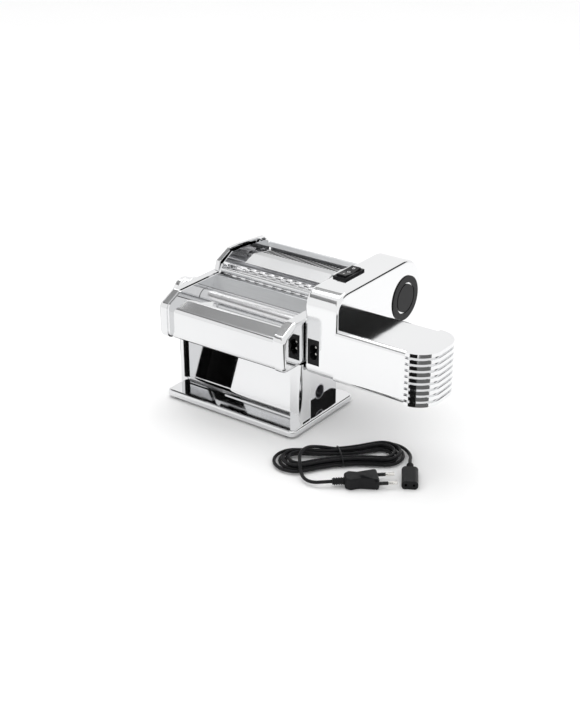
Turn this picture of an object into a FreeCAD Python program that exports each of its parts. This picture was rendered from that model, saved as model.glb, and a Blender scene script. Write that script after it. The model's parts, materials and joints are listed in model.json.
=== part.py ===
import FreeCAD, Part
import math
import os

import Sketcher

V = FreeCAD.Vector
doc = FreeCAD.newDocument("PastaRollerMachine")

# Driving sizes in millimetres. X runs along the rollers to the motor, Y to the back, Z up.
SIZES = {
    # Base and stand
    "base_overhang": 4,
    "base_depth": 123,
    "base_corner": 7,
    "base_round": 3,
    "base_top": 10.5,
    "base_lift": 3.5,
    "base_sheet": 1.5,
    "foot_radius": 9,
    "foot_toe_radius": 8,
    "foot_inset": 12,
    "inner_half": 74.5,
    "cheek_wall": 3,
    "cheek_front": -40,
    "cheek_rear": 48,
    "cheek_inset": 1,
    "flange_width": 12,
    "flange_wall": 2.5,
    "flange_front": -20,
    "flange_back": 40,
    "base_screw_radius": 2,
    "base_screw_head": 3.6,
    "base_screw_head_height": 2.4,
    "base_screw_front": -12,
    "base_screw_back": 32,
    "column_front": -41,
    "column_back": -18,
    "column_wall": 1.6,
    "column_round": 5,
    "clamp_y": 14,
    "clamp_z": 27.5,
    "clamp_radius": 8,
    "clamp_wall": 1.5,
    "clamp_length": 14,
    "panel_sheet": 1.2,
    "panel_bend": 5,
    "chute_top_y": -9,
    "chute_top_z": 90,
    "chute_foot_y": -26,
    "chute_toe_y": -33,
    "rear_panel_top_y": 28,
    "rear_panel_top_z": 98,
    "rear_panel_foot_y": 42,
    "rear_panel_toe_y": 50,
    "tie_radius": 4,
    "tie_front_y": -50,
    "tie_front_z": 106,
    "tie_low_y": 24,
    "tie_low_z": 48,
    "tie_high_z": 76,
    # Roller head
    "head_front": -73.5,
    "head_slope": -49.3,
    "head_rear": 51,
    "head_top": 139,
    "head_shoulder": 127,
    "head_bottom": 85,
    "head_corner": 9,
    "cap_depth": 12.5,
    "cap_wall": 2.2,
    "cap_round": 5,
    "cover_front": -68.5,
    "cover_bottom": 84,
    "cover_shoulder_z": 122,
    "cover_crown_y": -49,
    "cover_crown_z": 129.5,
    "cover_lip_y": -30,
    "cover_lip_z": 127,
    "cover_edge_y": -23.5,
    "cover_edge_z": 118,
    "cover_toe_y": -54,
    "cover_bend": 6,
    "hopper_edge_y": 5.2,
    "hopper_edge_z": 124.6,
    "hopper_top_y": 15,
    "hopper_top_z": 137.6,
    "hopper_flange_y": 20.5,
    # Rollers and their drive
    "roller_radius": 12,
    "roller_gap": 0.4,
    "roller_play": 0.5,
    "front_axis_y": -7,
    "roller_axis_z": 115.5,
    "journal_radius": 5,
    "journal_stub": 0.4,
    "running_fit": 0.05,
    "bush_wall": 2,
    "gear_start": 3,
    "gear_width": 6,
    "hub_radius": 8,
    "hub_reach": 9.9,
    "dog_flats": 8.4,
    "dog_play": 0.3,
    "dog_depth": 7,
    # Thickness adjuster
    "gap_travel": 2,
    "block_front": 9,
    "block_back": 21,
    "block_half": 9,
    "block_play": 0.15,
    "block_flange": 2,
    "block_lip": 2.5,
    "block_bar_y": 17,
    "block_bar_radius": 3,
    "lug_depth": 5.5,
    "lug_half": 6,
    "cam_radius": 9.5,
    "cam_play": 0.3,
    "cam_width": 4.8,
    "cam_turn": 150,
    "spindle_radius": 5,
    "spindle_play": 1,
    "knob_stand_off": 1.5,
    "knob_radius": 21,
    "knob_grip_radius": 18.5,
    "knob_waist_radius": 17,
    "knob_length": 21,
    "knob_dome": 3.5,
    "knob_edge": 1.5,
    "knob_step": 2,
    "knob_bore_depth": 16,
    # Double cutter
    "cutter_inset": 1,
    "cutter_plate_wall": 3,
    "cutter_axis_z": 135,
    "cutter_spacing": 13.4,
    "wide_axis_y": 29,
    "fine_axis_y": 94,
    "cutter_disc_radius": 7.6,
    "cutter_core_radius": 5,
    "fine_cutter_radius": 6.4,
    "cutter_journal_radius": 3,
    "cutter_side_gap": 0.25,
    "wide_pitch": 13,
    "cutter_gear_room": 14,
    "cutter_gear_gap": 2,
    "cutter_gear_width": 5,
    "cutter_cap_depth": 6.5,
    "cutter_cap_wall": 2,
    "cutter_cap_round": 2.5,
    "cutter_seat_gap": 1.5,
    "cutter_front": 15.6,
    "cutter_brow_y": 20,
    "cutter_brow_z": 154,
    "cutter_top_y": 42,
    "cutter_top_z": 164,
    "cutter_top_back": 58.6,
    "cutter_tail_y": 109,
    "cutter_tail_z": 159.5,
    "cutter_rear": 118,
    "cutter_rear_z": 151,
    "cutter_low_z": 120,
    "cutter_plate_inset": 4,
    "cutter_plate_drop": 6,
    "bar_front": 18.4,
    "bar_depth": 5.5,
    "bar_low": 140.6,
    "bar_top": 146.5,
    "bar_round": 2.4,
    "feed_edge_y": 46.5,
    "feed_edge_z": 146.5,
    "feed_ridge_y": 63,
    "feed_ridge_z": 153,
    "feed_end_y": 96,
    "feed_end_z": 147,
    "feed_start": 15,
    "rear_plate_edge_y": 110.5,
    "rear_plate_edge_z": 145.5,
    "cutter_tie_z": 135,
    "cutter_tie_front_y": 66,
    "cutter_tie_rear_y": 80,
    "cutter_tie_radius": 3,
    # Motor unit
    "slab_gap": 1,
    "slab_half": 21.5,
    "motor_front": -36,
    "motor_bottom": 72,
    "motor_top": 175,
    "motor_tail": 139.5,
    "motor_tail_low": 97,
    "tail_share": 0.487,
    "nose_round": 20,
    "heel_round": 10,
    "case_wall": 2.2,
    "case_round": 4,
    "barrel_back": 37,
    "barrel_low": 74,
    "barrel_top": 136,
    "barrel_round": 6,
    "barrel_length": 87,
    "fin_reach": 29,
    "fin_round": 27,
    "fin_depth": 3.5,
    "fin_height": 4.2,
    "fin_count": 9,
    "emblem_share": 0.346,
    "emblem_inset_share": 0.455,
    "emblem_rise_share": 0.41,
    "emblem_hollow_share": 0.7,
    "emblem_disc_share": 0.63,
    "emblem_height": 1.2,
    "inlet_x": 4.5,
    "inlet_width": 15.5,
    "inlet_low": 88,
    "inlet_height": 31,
    "inlet_depth": 15,
    "inlet_hole_radius": 5,
    "inlet_hole_spacing": 8.6,
    "inlet_hole_depth": 12,
    "inlet_pin_radius": 1.2,
    "inlet_pin_length": 7,
    "switch_y": 31,
    "switch_x": 12.7,
    "switch_length": 35,
    "switch_width": 15,
    "switch_wall": 1,
    "switch_depth": 22,
    "switch_rim": 1.2,
    "switch_rim_height": 2.2,
    "rocker_play": 0.6,
    "pivot_radius": 1.5,
    "pivot_drop": 2.5,
    "rocker_rise": 4.5,
    "rocker_dip": 2.5,
    "rocker_depth": 6,
    "peg_radius": 3,
    "peg_play": 0.3,
    "peg_y": 30,
    "peg_low_z": 95,
    "peg_high_z": 132,
    "peg_reach": 6,
    "motor_axis_y": 0.5,
    "motor_axis_z": 105,
    "shaft_radius": 4,
    "pinion_teeth": 12,
    "wheel_teeth": 48,
    "wheel_module": 1,
    "small_teeth": 12,
    "output_teeth": 30,
    "output_module": 1.5,
    "mesh_play": 0.1,
    "train_start": 2,
    "train_width": 6,
    "train_gap": 2,
    "idler_radius": 3,
    "output_radius": 7,
    "output_bush_radius": 11,
    "output_bush_length": 10,
    "bracket_wall": 3,
    "stator_start": 16,
    "stator_length": 45,
    "stator_bore": 18.5,
    "air_gap": 0.6,
    "commutator_radius": 9,
    "fan_radius": 25,
    "fan_width": 8,
    # Mains lead
    "cord_radius": 1.9,
    "hank_beyond": 28,
    "hank_y": -66.5,
    "hank_angle": 44.2,
    "hank_half": 41,
    "hank_inner": 10.5,
    "hank_step": 4.6,
    "hank_layer_step": 4.4,
    "hank_low": 3.7,
    "hank_waist": 6.5,
    "hank_end": 4.6,
    "tie_wall": 1.2,
    "tie_width": 3,
    "tie_gap": 0.4,
    "plug_beyond": 89,
    "plug_y": -85,
    "plug_angle": 41.7,
    "plug_length": 36,
    "plug_half": 13,
    "plug_neck": 8.5,
    "plug_flare": 11,
    "plug_height": 13,
    "plug_round": 3,
    "plug_sleeve": 3.4,
    "plug_sleeve_length": 13,
    "plug_pin_radius": 2,
    "plug_pin_length": 19,
    "plug_pin_spacing": 18.6,
    "connector_beyond": 122,
    "connector_y": -74,
    "connector_angle": -58.5,
    "connector_length": 32,
    "connector_half": 9,
    "connector_height": 10,
    "connector_bore": 1.5,
    "connector_bore_depth": 12,
    "connector_sleeve": 3.2,
    "connector_sleeve_length": 12,
}

sheet = doc.addObject("Spreadsheet::Sheet", "Sizes")
for row, (alias, number) in enumerate(SIZES.items(), start=1):
    sheet.set(f"A{row}", alias)
    sheet.set(f"B{row}", str(number))
    sheet.setAlias(f"B{row}", alias)
doc.recompute()


class Size:
    """A number together with the spreadsheet expression that gives it."""

    def __init__(self, number, text):
        self.number = number
        self.text = text

    def __add__(self, other):
        other = size(other)
        return Size(self.number + other.number, f"({self.text} + {other.text})")

    def __sub__(self, other):
        other = size(other)
        return Size(self.number - other.number, f"({self.text} - {other.text})")

    def __mul__(self, other):
        other = size(other)
        return Size(self.number * other.number, f"({self.text} * {other.text})")

    def __truediv__(self, other):
        other = size(other)
        return Size(self.number / other.number, f"({self.text} / {other.text})")

    def __neg__(self):
        return Size(-self.number, f"(0 - {self.text})")

    def __radd__(self, other):
        return size(other) + self

    def __rsub__(self, other):
        return size(other) - self

    def __rmul__(self, other):
        return size(other) * self


def size(value):
    """Turn a plain number into a Size."""
    if isinstance(value, Size):
        return value
    return Size(float(value), f"({float(value):.9f})")


class Sheet:
    """Reads the driving sizes by name."""

    def __getattr__(self, alias):
        return Size(float(sheet.get(alias)), f"Sizes.{alias}")


S = Sheet()

# Sizes that follow from the driving ones
CHEEK_OUT = S.inner_half + S.cheek_wall
CAP_OUT = CHEEK_OUT + S.cap_depth
BASE_HALF = CAP_OUT + S.base_overhang
CUTTER_HALF = S.inner_half - S.cutter_inset
KNOB_OUT = CAP_OUT + S.knob_stand_off + S.knob_length
SLAB_IN = CAP_OUT + S.slab_gap
SEAM = SLAB_IN + S.slab_half
SLAB_OUT = SEAM + S.slab_half
BARREL_OUT = SLAB_OUT + S.barrel_length
FIN_OUT = BARREL_OUT + S.fin_reach
TAIL_HEIGHT = S.motor_top - S.motor_tail_low
TAIL_ROUND = TAIL_HEIGHT * S.tail_share
REAR_AXIS_Y = S.front_axis_y + 2 * S.roller_radius + S.roller_gap
GEAR_IN = CHEEK_OUT + S.gear_start
GEAR_OUT = GEAR_IN + S.gear_width

# The row's origin is on the table, under the middle of the machine's box
SHIFT_X = (KNOB_OUT - FIN_OUT) / 2
SHIFT_Y = (0 - S.head_front - S.motor_tail) / 2

parts = []


def keep(part, label):
    """Name a finished sub-part and list it for export."""
    part.Label = label
    parts.append(part)
    return part


def place(part, x=0, y=0, z=0):
    """Bind a part's place, given in the machine's frame, to the sheet."""
    base = (size(x) + SHIFT_X, size(y) + SHIFT_Y, size(z))
    part.Placement.Base = V(*[b.number for b in base])
    for axis, value in zip("xyz", base):
        part.setExpression(f"Placement.Base.{axis}", value.text)
    return part


def piece(name, shape):
    """A shape worked out in the machine's frame."""
    shift = FreeCAD.Placement(V(SHIFT_X.number, SHIFT_Y.number, 0), FreeCAD.Rotation())
    part = doc.addObject("Part::Feature", name)
    part.Shape = shape
    part.Placement = shift.multiply(shape.Placement)
    return part


def feature(label, shape):
    """A sub-part whose shape is worked out in the machine's frame."""
    return keep(piece(label, shape), label)


def new_body(label):
    body = doc.addObject("PartDesign::Body", label)
    return keep(body, label)


def new_sketch(body, role, height=None):
    """A sketch on one of the body's own origin planes, raised along the plane's normal."""
    sketch = body.newObject("Sketcher::SketchObject", f"{body.Name}_sketch")
    plane = next(f for f in body.Origin.OriginFeatures if f.Role == role)
    sketch.AttachmentSupport = (plane, "")
    sketch.MapMode = "FlatFace"
    if height is not None:
        height = size(height)
        sketch.AttachmentOffset.Base.z = height.number
        sketch.setExpression("AttachmentOffset.Base.z", height.text)
    return sketch


def at(geometry, end, corner):
    """Rules that hold one sketch point at a place given by sizes."""
    rules = []
    for kind, value in zip(("DistanceX", "DistanceY"), corner):
        value = size(value)
        rules.append((Sketcher.Constraint(kind, -1, 1, geometry, end, value.number), value.text))
    return rules


def free(*terms):
    """A rule with no value of its own."""
    return (Sketcher.Constraint(*terms), None)


def rounded(geometry, radius):
    """A rule that holds a radius."""
    radius = size(radius)
    return (Sketcher.Constraint("Radius", geometry, radius.number), radius.text)


def hold(sketch, rules):
    """Add all rules at once, then bind their values to the sheet."""
    first = sketch.ConstraintCount
    sketch.addConstraint([constraint for constraint, text in rules])
    for index, (constraint, text) in enumerate(rules, start=first):
        if text is not None:
            sketch.setExpression(f"Constraints[{index}]", text)


def outline(sketch, corners):
    """A closed outline through corners (x, y) or rounded corners (x, y, radius)."""
    count = len(corners)
    points = [V(size(c[0]).number, size(c[1]).number, 0) for c in corners]
    starts, ends, arcs, lefts = [], [], [], []
    for i, corner in enumerate(corners):
        point = points[i]
        back = (points[i - 1] - point).normalize()
        ahead = (points[(i + 1) % count] - point).normalize()
        if len(corner) == 2:
            starts.append(point)
            ends.append(point)
            arcs.append(None)
            lefts.append(None)
            continue
        radius = size(corner[2]).number
        half = back.getAngle(ahead) / 2
        middle = (back + ahead).normalize()
        centre = point + middle * (radius / math.sin(half))
        ends.append(point + back * (radius / math.tan(half)))
        starts.append(point + ahead * (radius / math.tan(half)))
        arcs.append((ends[-1], centre - middle * radius, starts[-1]))
        lefts.append(ahead.cross(back).z > 0)
    lines = []
    for i in range(count):
        segment = Part.LineSegment(starts[i], ends[(i + 1) % count])
        lines.append(sketch.addGeometry(segment, False))
    rules = []
    for i, corner in enumerate(corners):
        before, after = lines[i - 1], lines[i]
        if arcs[i] is None:
            rules.append(free("Coincident", before, 2, after, 1))
            rules += at(after, 1, corner[:2])
            continue
        path = arcs[i] if lefts[i] else arcs[i][::-1]
        first, second = (1, 2) if lefts[i] else (2, 1)
        arc = sketch.addGeometry(Part.Arc(*path), False)
        apex = sketch.addGeometry(Part.Point(points[i]), True)
        rules.append(free("Tangent", before, 2, arc, first))
        rules.append(free("Tangent", arc, second, after, 1))
        rules.append(rounded(arc, corner[2]))
        rules.append(free("PointOnObject", apex, 1, before))
        rules.append(free("PointOnObject", apex, 1, after))
        rules += at(apex, 1, corner[:2])
    hold(sketch, rules)


def circle(sketch, x, y, radius):
    x, y, radius = size(x), size(y), size(radius)
    line = Part.Circle(V(x.number, y.number, 0), V(0, 0, 1), radius.number)
    index = sketch.addGeometry(line, False)
    hold(sketch, [*at(index, 3, (x, y)), rounded(index, radius)])


def rectangle(x0, x1, y0, y1, radius=None):
    """Corners of an upright rectangle, rounded if a radius is given."""
    corners = [(x0, y0), (x1, y0), (x1, y1), (x0, y1)]
    if radius is None:
        return corners
    return [(x, y, radius) for x, y in corners]


def beside(points, distance):
    """Each point of an open line moved to the left of its travel, at a corner along the mitre."""
    flat = [V(size(x).number, size(y).number, 0) for x, y in points]
    runs = [(b - a).normalize() for a, b in zip(flat, flat[1:])]
    normals = [V(-r.y, r.x, 0) for r in runs]
    moved = []
    for i, (x, y) in enumerate(points):
        before = normals[max(i - 1, 0)]
        after = normals[min(i, len(normals) - 1)]
        mitre = (before + after) * (1 / (1 + before.dot(after)))
        moved.append((size(x) + mitre.x * distance, size(y) + mitre.y * distance))
    return moved


def strip(points, wall, bend):
    """Corners of a bent sheet that follows an open line, with its wall on the left."""
    flat = [V(size(x).number, size(y).number, 0) for x, y in points]
    far = beside(points, wall)
    near_side = [points[0]]
    far_side = [far[0]]
    for i in range(1, len(points) - 1):
        turn = (flat[i] - flat[i - 1]).cross(flat[i + 1] - flat[i]).z
        near_bend, far_bend = (bend + wall, bend) if turn > 0 else (bend, bend + wall)
        near_side.append((*points[i], near_bend))
        far_side.append((*far[i], far_bend))
    near_side.append(points[-1])
    far_side.append(far[-1])
    return near_side + far_side[::-1]


def inset(corners, wall):
    """A counter-clockwise outline drawn in by a wall, with its rounded corners drawn in alike."""
    ring = [c[:2] for c in corners]
    moved = beside([ring[-1], *ring, ring[0]], wall)[1:-1]
    result = []
    for corner, point in zip(corners, moved):
        radius = (corner[2] - wall,) if len(corner) == 3 else ()
        result.append((*point, *radius))
    return result


def pad(body, sketch, length, down=False):
    length = size(length)
    added = body.newObject("PartDesign::Pad", f"{body.Name}_pad")
    added.Profile = sketch
    added.Length = length.number
    added.setExpression("Length", length.text)
    added.Reversed = down
    doc.recompute()
    return added


def cut(body, sketch, length, down=False):
    """Cut along the sketch's normal, or against it if down is true."""
    length = size(length)
    before = body.Shape.Volume
    removed = body.newObject("PartDesign::Pocket", f"{body.Name}_pocket")
    removed.Profile = sketch
    removed.Length = length.number
    removed.setExpression("Length", length.text)
    removed.Reversed = not down
    doc.recompute()
    if body.Shape.Volume > before - 1e-6:
        raise RuntimeError(f"{body.Label}: a cut removed nothing")
    return removed


def round_edges(body, radius, chosen):
    """Round the edges whose middle point and ends satisfy a test."""
    radius = size(radius)
    base = body.Tip
    names = []
    for index, edge in enumerate(base.Shape.Edges, start=1):
        if chosen(edge):
            names.append(f"Edge{index}")
    rounded = body.newObject("PartDesign::Fillet", f"{body.Name}_fillet")
    rounded.Base = (base, names)
    rounded.Radius = radius.number
    rounded.setExpression("Radius", radius.text)
    doc.recompute()
    return rounded


def edge_at(axis, value):
    """A test for edges that lie wholly at one coordinate."""
    value = size(value).number

    def chosen(edge):
        return all(abs(getattr(v.Point, axis) - value) < 1e-4 for v in edge.Vertexes)

    return chosen


def turned(label, profile, y, z, x=0):
    """A piece turned about a line along X, from corners (x, radius)."""
    body = new_body(label)
    sketch = new_sketch(body, "XY_Plane")
    outline(sketch, profile)
    solid = body.newObject("PartDesign::Revolution", f"{label}_turn")
    solid.Profile = sketch
    solid.ReferenceAxis = (sketch, ["H_Axis"])
    doc.recompute()
    return place(body, x, y, z)


def rod(name, radius, x0, x1, y, z):
    """A round bar along X."""
    radius, x0, length = size(radius), size(x0), size(x1) - size(x0)
    bar = doc.addObject("Part::Cylinder", name)
    bar.setExpression("Radius", radius.text)
    bar.setExpression("Height", length.text)
    bar.Placement = FreeCAD.Placement(V(), FreeCAD.Rotation(V(0, 1, 0), 90))
    return place(bar, x0, y, z)


def post(name, radius, toe, x, y, z0, z1):
    """An upright round post, tapered if its toe radius differs."""
    bar = doc.addObject("Part::Cone", name)
    bar.setExpression("Radius1", size(toe).text)
    bar.setExpression("Radius2", size(radius).text)
    bar.setExpression("Height", (size(z1) - size(z0)).text)
    return place(bar, x, y, z0)


def upright(name, radius, x, y, z0, z1):
    """An upright round bar."""
    bar = doc.addObject("Part::Cylinder", name)
    bar.setExpression("Radius", size(radius).text)
    bar.setExpression("Height", (size(z1) - size(z0)).text)
    return place(bar, x, y, z0)


def block(name, x0, x1, y0, y1, z0, z1):
    """An upright box between two corners."""
    box = doc.addObject("Part::Box", name)
    box.setExpression("Length", (size(x1) - size(x0)).text)
    box.setExpression("Width", (size(y1) - size(y0)).text)
    box.setExpression("Height", (size(z1) - size(z0)).text)
    return place(box, x0, y0, z0)


def joined(name, pieces):
    whole = doc.addObject("Part::MultiFuse", name)
    whole.Shapes = pieces
    return whole


def less(name, base, tool):
    rest = doc.addObject("Part::Cut", name)
    rest.Base = base
    rest.Tool = tool
    return rest


def group(label, pieces):
    """Identical separate solids that share one node."""
    whole = doc.addObject("Part::Compound", label)
    whole.Links = pieces
    return keep(whole, label)


def ring(label, outer, inner, x0, x1, y, z):
    """A round sleeve along X."""
    sleeve = less(label, rod(f"{label}_outer", outer, x0, x1, y, z), rod(f"{label}_bore", inner, x0, x1, y, z))
    return sleeve


def sheet_part(label, points, wall, bend, x0, x1):
    """A bent sheet whose section, in Y and Z, follows an open line."""
    body = new_body(label)
    sketch = new_sketch(body, "YZ_Plane")
    outline(sketch, strip(points, wall, bend))
    pad(body, sketch, size(x1) - size(x0))
    return place(body, x0)


# Involute gears
PRESSURE = math.radians(20)
FLANK_STEPS = 2


def involute(angle):
    return math.tan(angle) - angle


def gear_wire(teeth, module, turn, thinning):
    """The outline of a gear in the YZ plane about the origin, with a tooth at the turn angle."""
    pitch = module * teeth / 2
    base = pitch * math.cos(PRESSURE)
    tip = pitch + module
    root = pitch - 1.25 * module
    start = max(base, root)
    half = math.pi / (2 * teeth) - thinning / (2 * pitch)
    flank = []
    for step in range(FLANK_STEPS + 1):
        radius = start + (tip - start) * step / FLANK_STEPS
        flank.append((radius, half + involute(PRESSURE) - involute(math.acos(base / radius))))
    side = [(root, flank[0][1]), *flank] if root < base else flank
    points = []
    for tooth in range(teeth):
        middle = turn + 2 * math.pi * tooth / teeth
        rising = [(radius, middle - angle) for radius, angle in side]
        falling = [(radius, middle + angle) for radius, angle in reversed(side)]
        points += rising + falling
    corners = [V(0, radius * math.cos(angle), radius * math.sin(angle)) for radius, angle in points]
    return Part.makePolygon(corners + corners[:1])


def holed_face(wire, bore):
    """A flat face across X inside a wire, with a round hole about the origin."""
    hole = Part.Wire(Part.makeCircle(bore, V(), V(1, 0, 0)))
    return Part.makeFace([wire, hole], "Part::FaceMakerBullseye")


def gear(teeth, module, bore, x0, x1, y, z, turn=0.0, thinning=0.1):
    """A spur gear on a line along X, with a round bore."""
    x0, x1, bore = size(x0).number, size(x1).number, size(bore).number
    face = holed_face(gear_wire(teeth, module, turn, thinning), bore)
    solid = face.extrude(V(x1 - x0, 0, 0))
    solid.translate(V(x0, size(y).number, size(z).number))
    return solid


def direction(from_y, from_z, to_y, to_z):
    """The angle in the YZ plane of the line from one axis to another."""
    return math.atan2(size(to_z).number - size(from_z).number, size(to_y).number - size(from_y).number)


# Base plate: a pressed tray with a rounded rim, on rubber feet
def make_base():
    half_x, half_y = BASE_HALF, S.base_depth / 2
    body = new_body("base_plate")
    rim = rectangle(-half_x, half_x, -half_y, half_y, S.base_corner)
    rim_sketch = new_sketch(body, "XY_Plane", S.base_lift)
    outline(rim_sketch, rim)
    pad(body, rim_sketch, S.base_top - S.base_lift)
    round_edges(body, S.base_round, edge_at("z", S.base_top))
    hollow = new_sketch(body, "XY_Plane", S.base_lift)
    outline(hollow, inset(rim, S.base_sheet))
    cut(body, hollow, S.base_top - S.base_lift - S.base_sheet)
    holes = new_sketch(body, "XY_Plane", S.base_lift)
    for x, y in screw_places():
        circle(holes, x, y, S.base_screw_radius)
    cut(body, holes, S.base_top)
    place(body)
    feet = []
    foot_x, foot_y = half_x - S.foot_inset, half_y - S.foot_inset
    for i, (x, y) in enumerate([(-foot_x, -foot_y), (foot_x, -foot_y), (foot_x, foot_y), (-foot_x, foot_y)]):
        feet.append(post(f"foot_{i}", S.foot_radius, S.foot_toe_radius, x, y, 0, S.base_top - S.base_sheet))
    group("rubber_feet", feet)
    screws = []
    for i, (x, y) in enumerate(screw_places()):
        under = S.base_top - S.base_sheet
        head = upright(f"base_screw_head_{i}", S.base_screw_head, x, y, under - S.base_screw_head_height, under)
        stem = upright(f"base_screw_stem_{i}", S.base_screw_radius, x, y, under, S.base_top + S.flange_wall)
        screws.append(joined(f"base_screw_{i}", [head, stem]))
    group("base_screws", screws)


def screw_places():
    """Where the cheek flanges are screwed to the base."""
    x = S.inner_half - S.flange_width / 2
    return [(side * x, y) for side in (-1, 1) for y in (S.base_screw_front, S.base_screw_back)]


def head_outline():
    """The end view of the roller head, counter-clockwise in Y and Z."""
    corner = S.head_corner
    return [
        (S.head_front, S.head_bottom, corner),
        (S.head_rear, S.head_bottom, corner),
        (S.head_rear, S.head_top, corner),
        (S.head_slope, S.head_top, corner),
        (S.head_front, S.head_shoulder, corner),
    ]


# Cheek plates: they stand on the base, carry the rollers and have a foot flange
def make_cheek(label, right):
    drawn = S.cheek_inset
    corner = S.head_corner
    body = new_body(label)
    sketch = new_sketch(body, "YZ_Plane")
    outline(sketch, [
        (S.cheek_front, S.base_top),
        (S.cheek_rear, S.base_top),
        (S.cheek_rear, S.head_top - drawn, corner),
        (S.head_slope, S.head_top - drawn, corner),
        (S.head_front + drawn, S.head_shoulder, corner),
        (S.head_front + drawn, S.head_bottom + drawn, corner),
        (S.cheek_front, S.head_bottom + drawn),
    ])
    pad(body, sketch, S.cheek_wall)
    flange = new_sketch(body, "YZ_Plane", 0 if right else S.cheek_wall)
    outline(flange, rectangle(S.flange_front, S.flange_back, S.base_top, S.base_top + S.flange_wall))
    pad(body, flange, S.flange_width, down=right)
    openings = new_sketch(body, "YZ_Plane")
    circle(openings, S.front_axis_y, S.roller_axis_z, S.journal_radius + S.running_fit + S.bush_wall)
    play = S.block_play
    outline(openings, rectangle(
        REAR_AXIS_Y - S.block_front - play,
        REAR_AXIS_Y + S.block_back + S.gap_travel + play,
        S.roller_axis_z - S.block_half - play,
        S.roller_axis_z + S.block_half + play,
    ))
    if right:
        circle(openings, S.clamp_y, S.clamp_z, S.clamp_radius + S.clamp_wall)
    cut(body, openings, S.cheek_wall)
    holes = new_sketch(body, "XY_Plane", S.base_top)
    middle = S.flange_width / 2
    for y in (S.base_screw_front, S.base_screw_back):
        circle(holes, -middle if right else S.cheek_wall + middle, y, S.base_screw_radius)
    cut(body, holes, S.flange_wall)
    place(body, S.inner_half if right else -CHEEK_OUT)


# Columns: rounded channels outside the cheeks, from the base up to the head
def make_column(name, side):
    wall = S.column_wall
    reach = S.cap_depth
    path = [(0, S.column_front), (reach, S.column_front), (reach, S.column_back), (0, S.column_back)]
    body = doc.addObject("PartDesign::Body", name)
    sketch = new_sketch(body, "XY_Plane")
    corners = strip(path, wall, S.column_round - wall)
    outline(sketch, [(side * size(c[0]), *c[1:]) for c in corners])
    pad(body, sketch, S.head_bottom - S.base_top)
    return place(body, side * CHEEK_OUT, 0, S.base_top)


def make_stand():
    make_base()
    make_cheek("left_cheek_plate", False)
    make_cheek("right_cheek_plate", True)
    group("columns", [make_column("left_column", -1), make_column("right_column", 1)])
    wall = S.panel_sheet
    lying = S.base_top + wall
    chute = [(S.chute_top_y, S.chute_top_z), (S.chute_foot_y, lying), (S.chute_toe_y, lying)]
    sheet_part("chute_panel", chute, wall, S.panel_bend, -S.inner_half, S.inner_half)
    rear = [(S.rear_panel_toe_y, lying), (S.rear_panel_foot_y, lying), (S.rear_panel_top_y, S.rear_panel_top_z)]
    rear_half = S.inner_half - S.flange_width
    sheet_part("rear_panel", rear, wall, S.panel_bend, -rear_half, rear_half)
    ties = []
    places = [(S.tie_front_y, S.tie_front_z), (S.tie_low_y, S.tie_low_z), (S.tie_low_y, S.tie_high_z)]
    for i, (y, z) in enumerate(places):
        ties.append(rod(f"stand_tie_{i}", S.tie_radius, -S.inner_half, S.inner_half, y, z))
    group("stand_tie_rods", ties)
    outer = S.clamp_radius + S.clamp_wall
    socket = ring("clamp_socket", outer, S.clamp_radius, CHEEK_OUT - S.clamp_length, CHEEK_OUT, S.clamp_y, S.clamp_z)
    keep(socket, "clamp_socket")


# End caps: hollow covers with rounded rims over the gears and the adjuster
def make_cap(label, right):
    body = new_body(label)
    sketch = new_sketch(body, "YZ_Plane")
    outline(sketch, head_outline())
    pad(body, sketch, S.cap_depth, down=not right)
    face = S.cap_depth if right else -S.cap_depth
    round_edges(body, S.cap_round, edge_at("x", face))
    hollow = new_sketch(body, "YZ_Plane")
    outline(hollow, inset(head_outline(), S.cap_wall))
    cut(body, hollow, S.cap_depth - S.cap_wall, down=not right)
    holes = new_sketch(body, "YZ_Plane")
    if right:
        circle(holes, S.front_axis_y, S.roller_axis_z, S.hub_radius + S.dog_play)
        for z in (S.peg_low_z, S.peg_high_z):
            circle(holes, S.peg_y, z, S.peg_radius + S.peg_play)
    else:
        circle(holes, S.front_axis_y, S.roller_axis_z, S.spindle_radius + S.running_fit)
    cut(body, holes, S.cap_depth, down=not right)
    place(body, CHEEK_OUT if right else -CHEEK_OUT)


def make_head():
    make_cap("left_end_cap", False)
    make_cap("right_end_cap", True)
    half = S.inner_half
    cover = [
        (S.cover_toe_y, S.cover_bottom),
        (S.cover_front, S.cover_bottom),
        (S.cover_front, S.cover_shoulder_z),
        (S.cover_crown_y, S.cover_crown_z),
        (S.cover_lip_y, S.cover_lip_z),
        (S.cover_edge_y, S.cover_edge_z),
    ]
    sheet_part("front_cover", cover[::-1], S.panel_sheet, S.cover_bend, -half, half)
    hopper = [
        (S.hopper_edge_y, S.hopper_edge_z),
        (S.hopper_top_y, S.hopper_top_z),
        (S.hopper_flange_y, S.hopper_top_z),
    ]
    sheet_part("hopper_plate", hopper[::-1], S.panel_sheet, S.panel_sheet, -half, half)
    bushes = []
    for i, x in enumerate((-CHEEK_OUT, S.inner_half)):
        bore = S.journal_radius + S.running_fit
        axis = (S.front_axis_y, S.roller_axis_z)
        bushes.append(ring(f"roller_bush_{i}", bore + S.bush_wall, bore, x, x + S.cheek_wall, *axis))
    group("roller_bushes", bushes)


# Rollers, their gears and the drive socket
ROLLER_TEETH = 16


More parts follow.
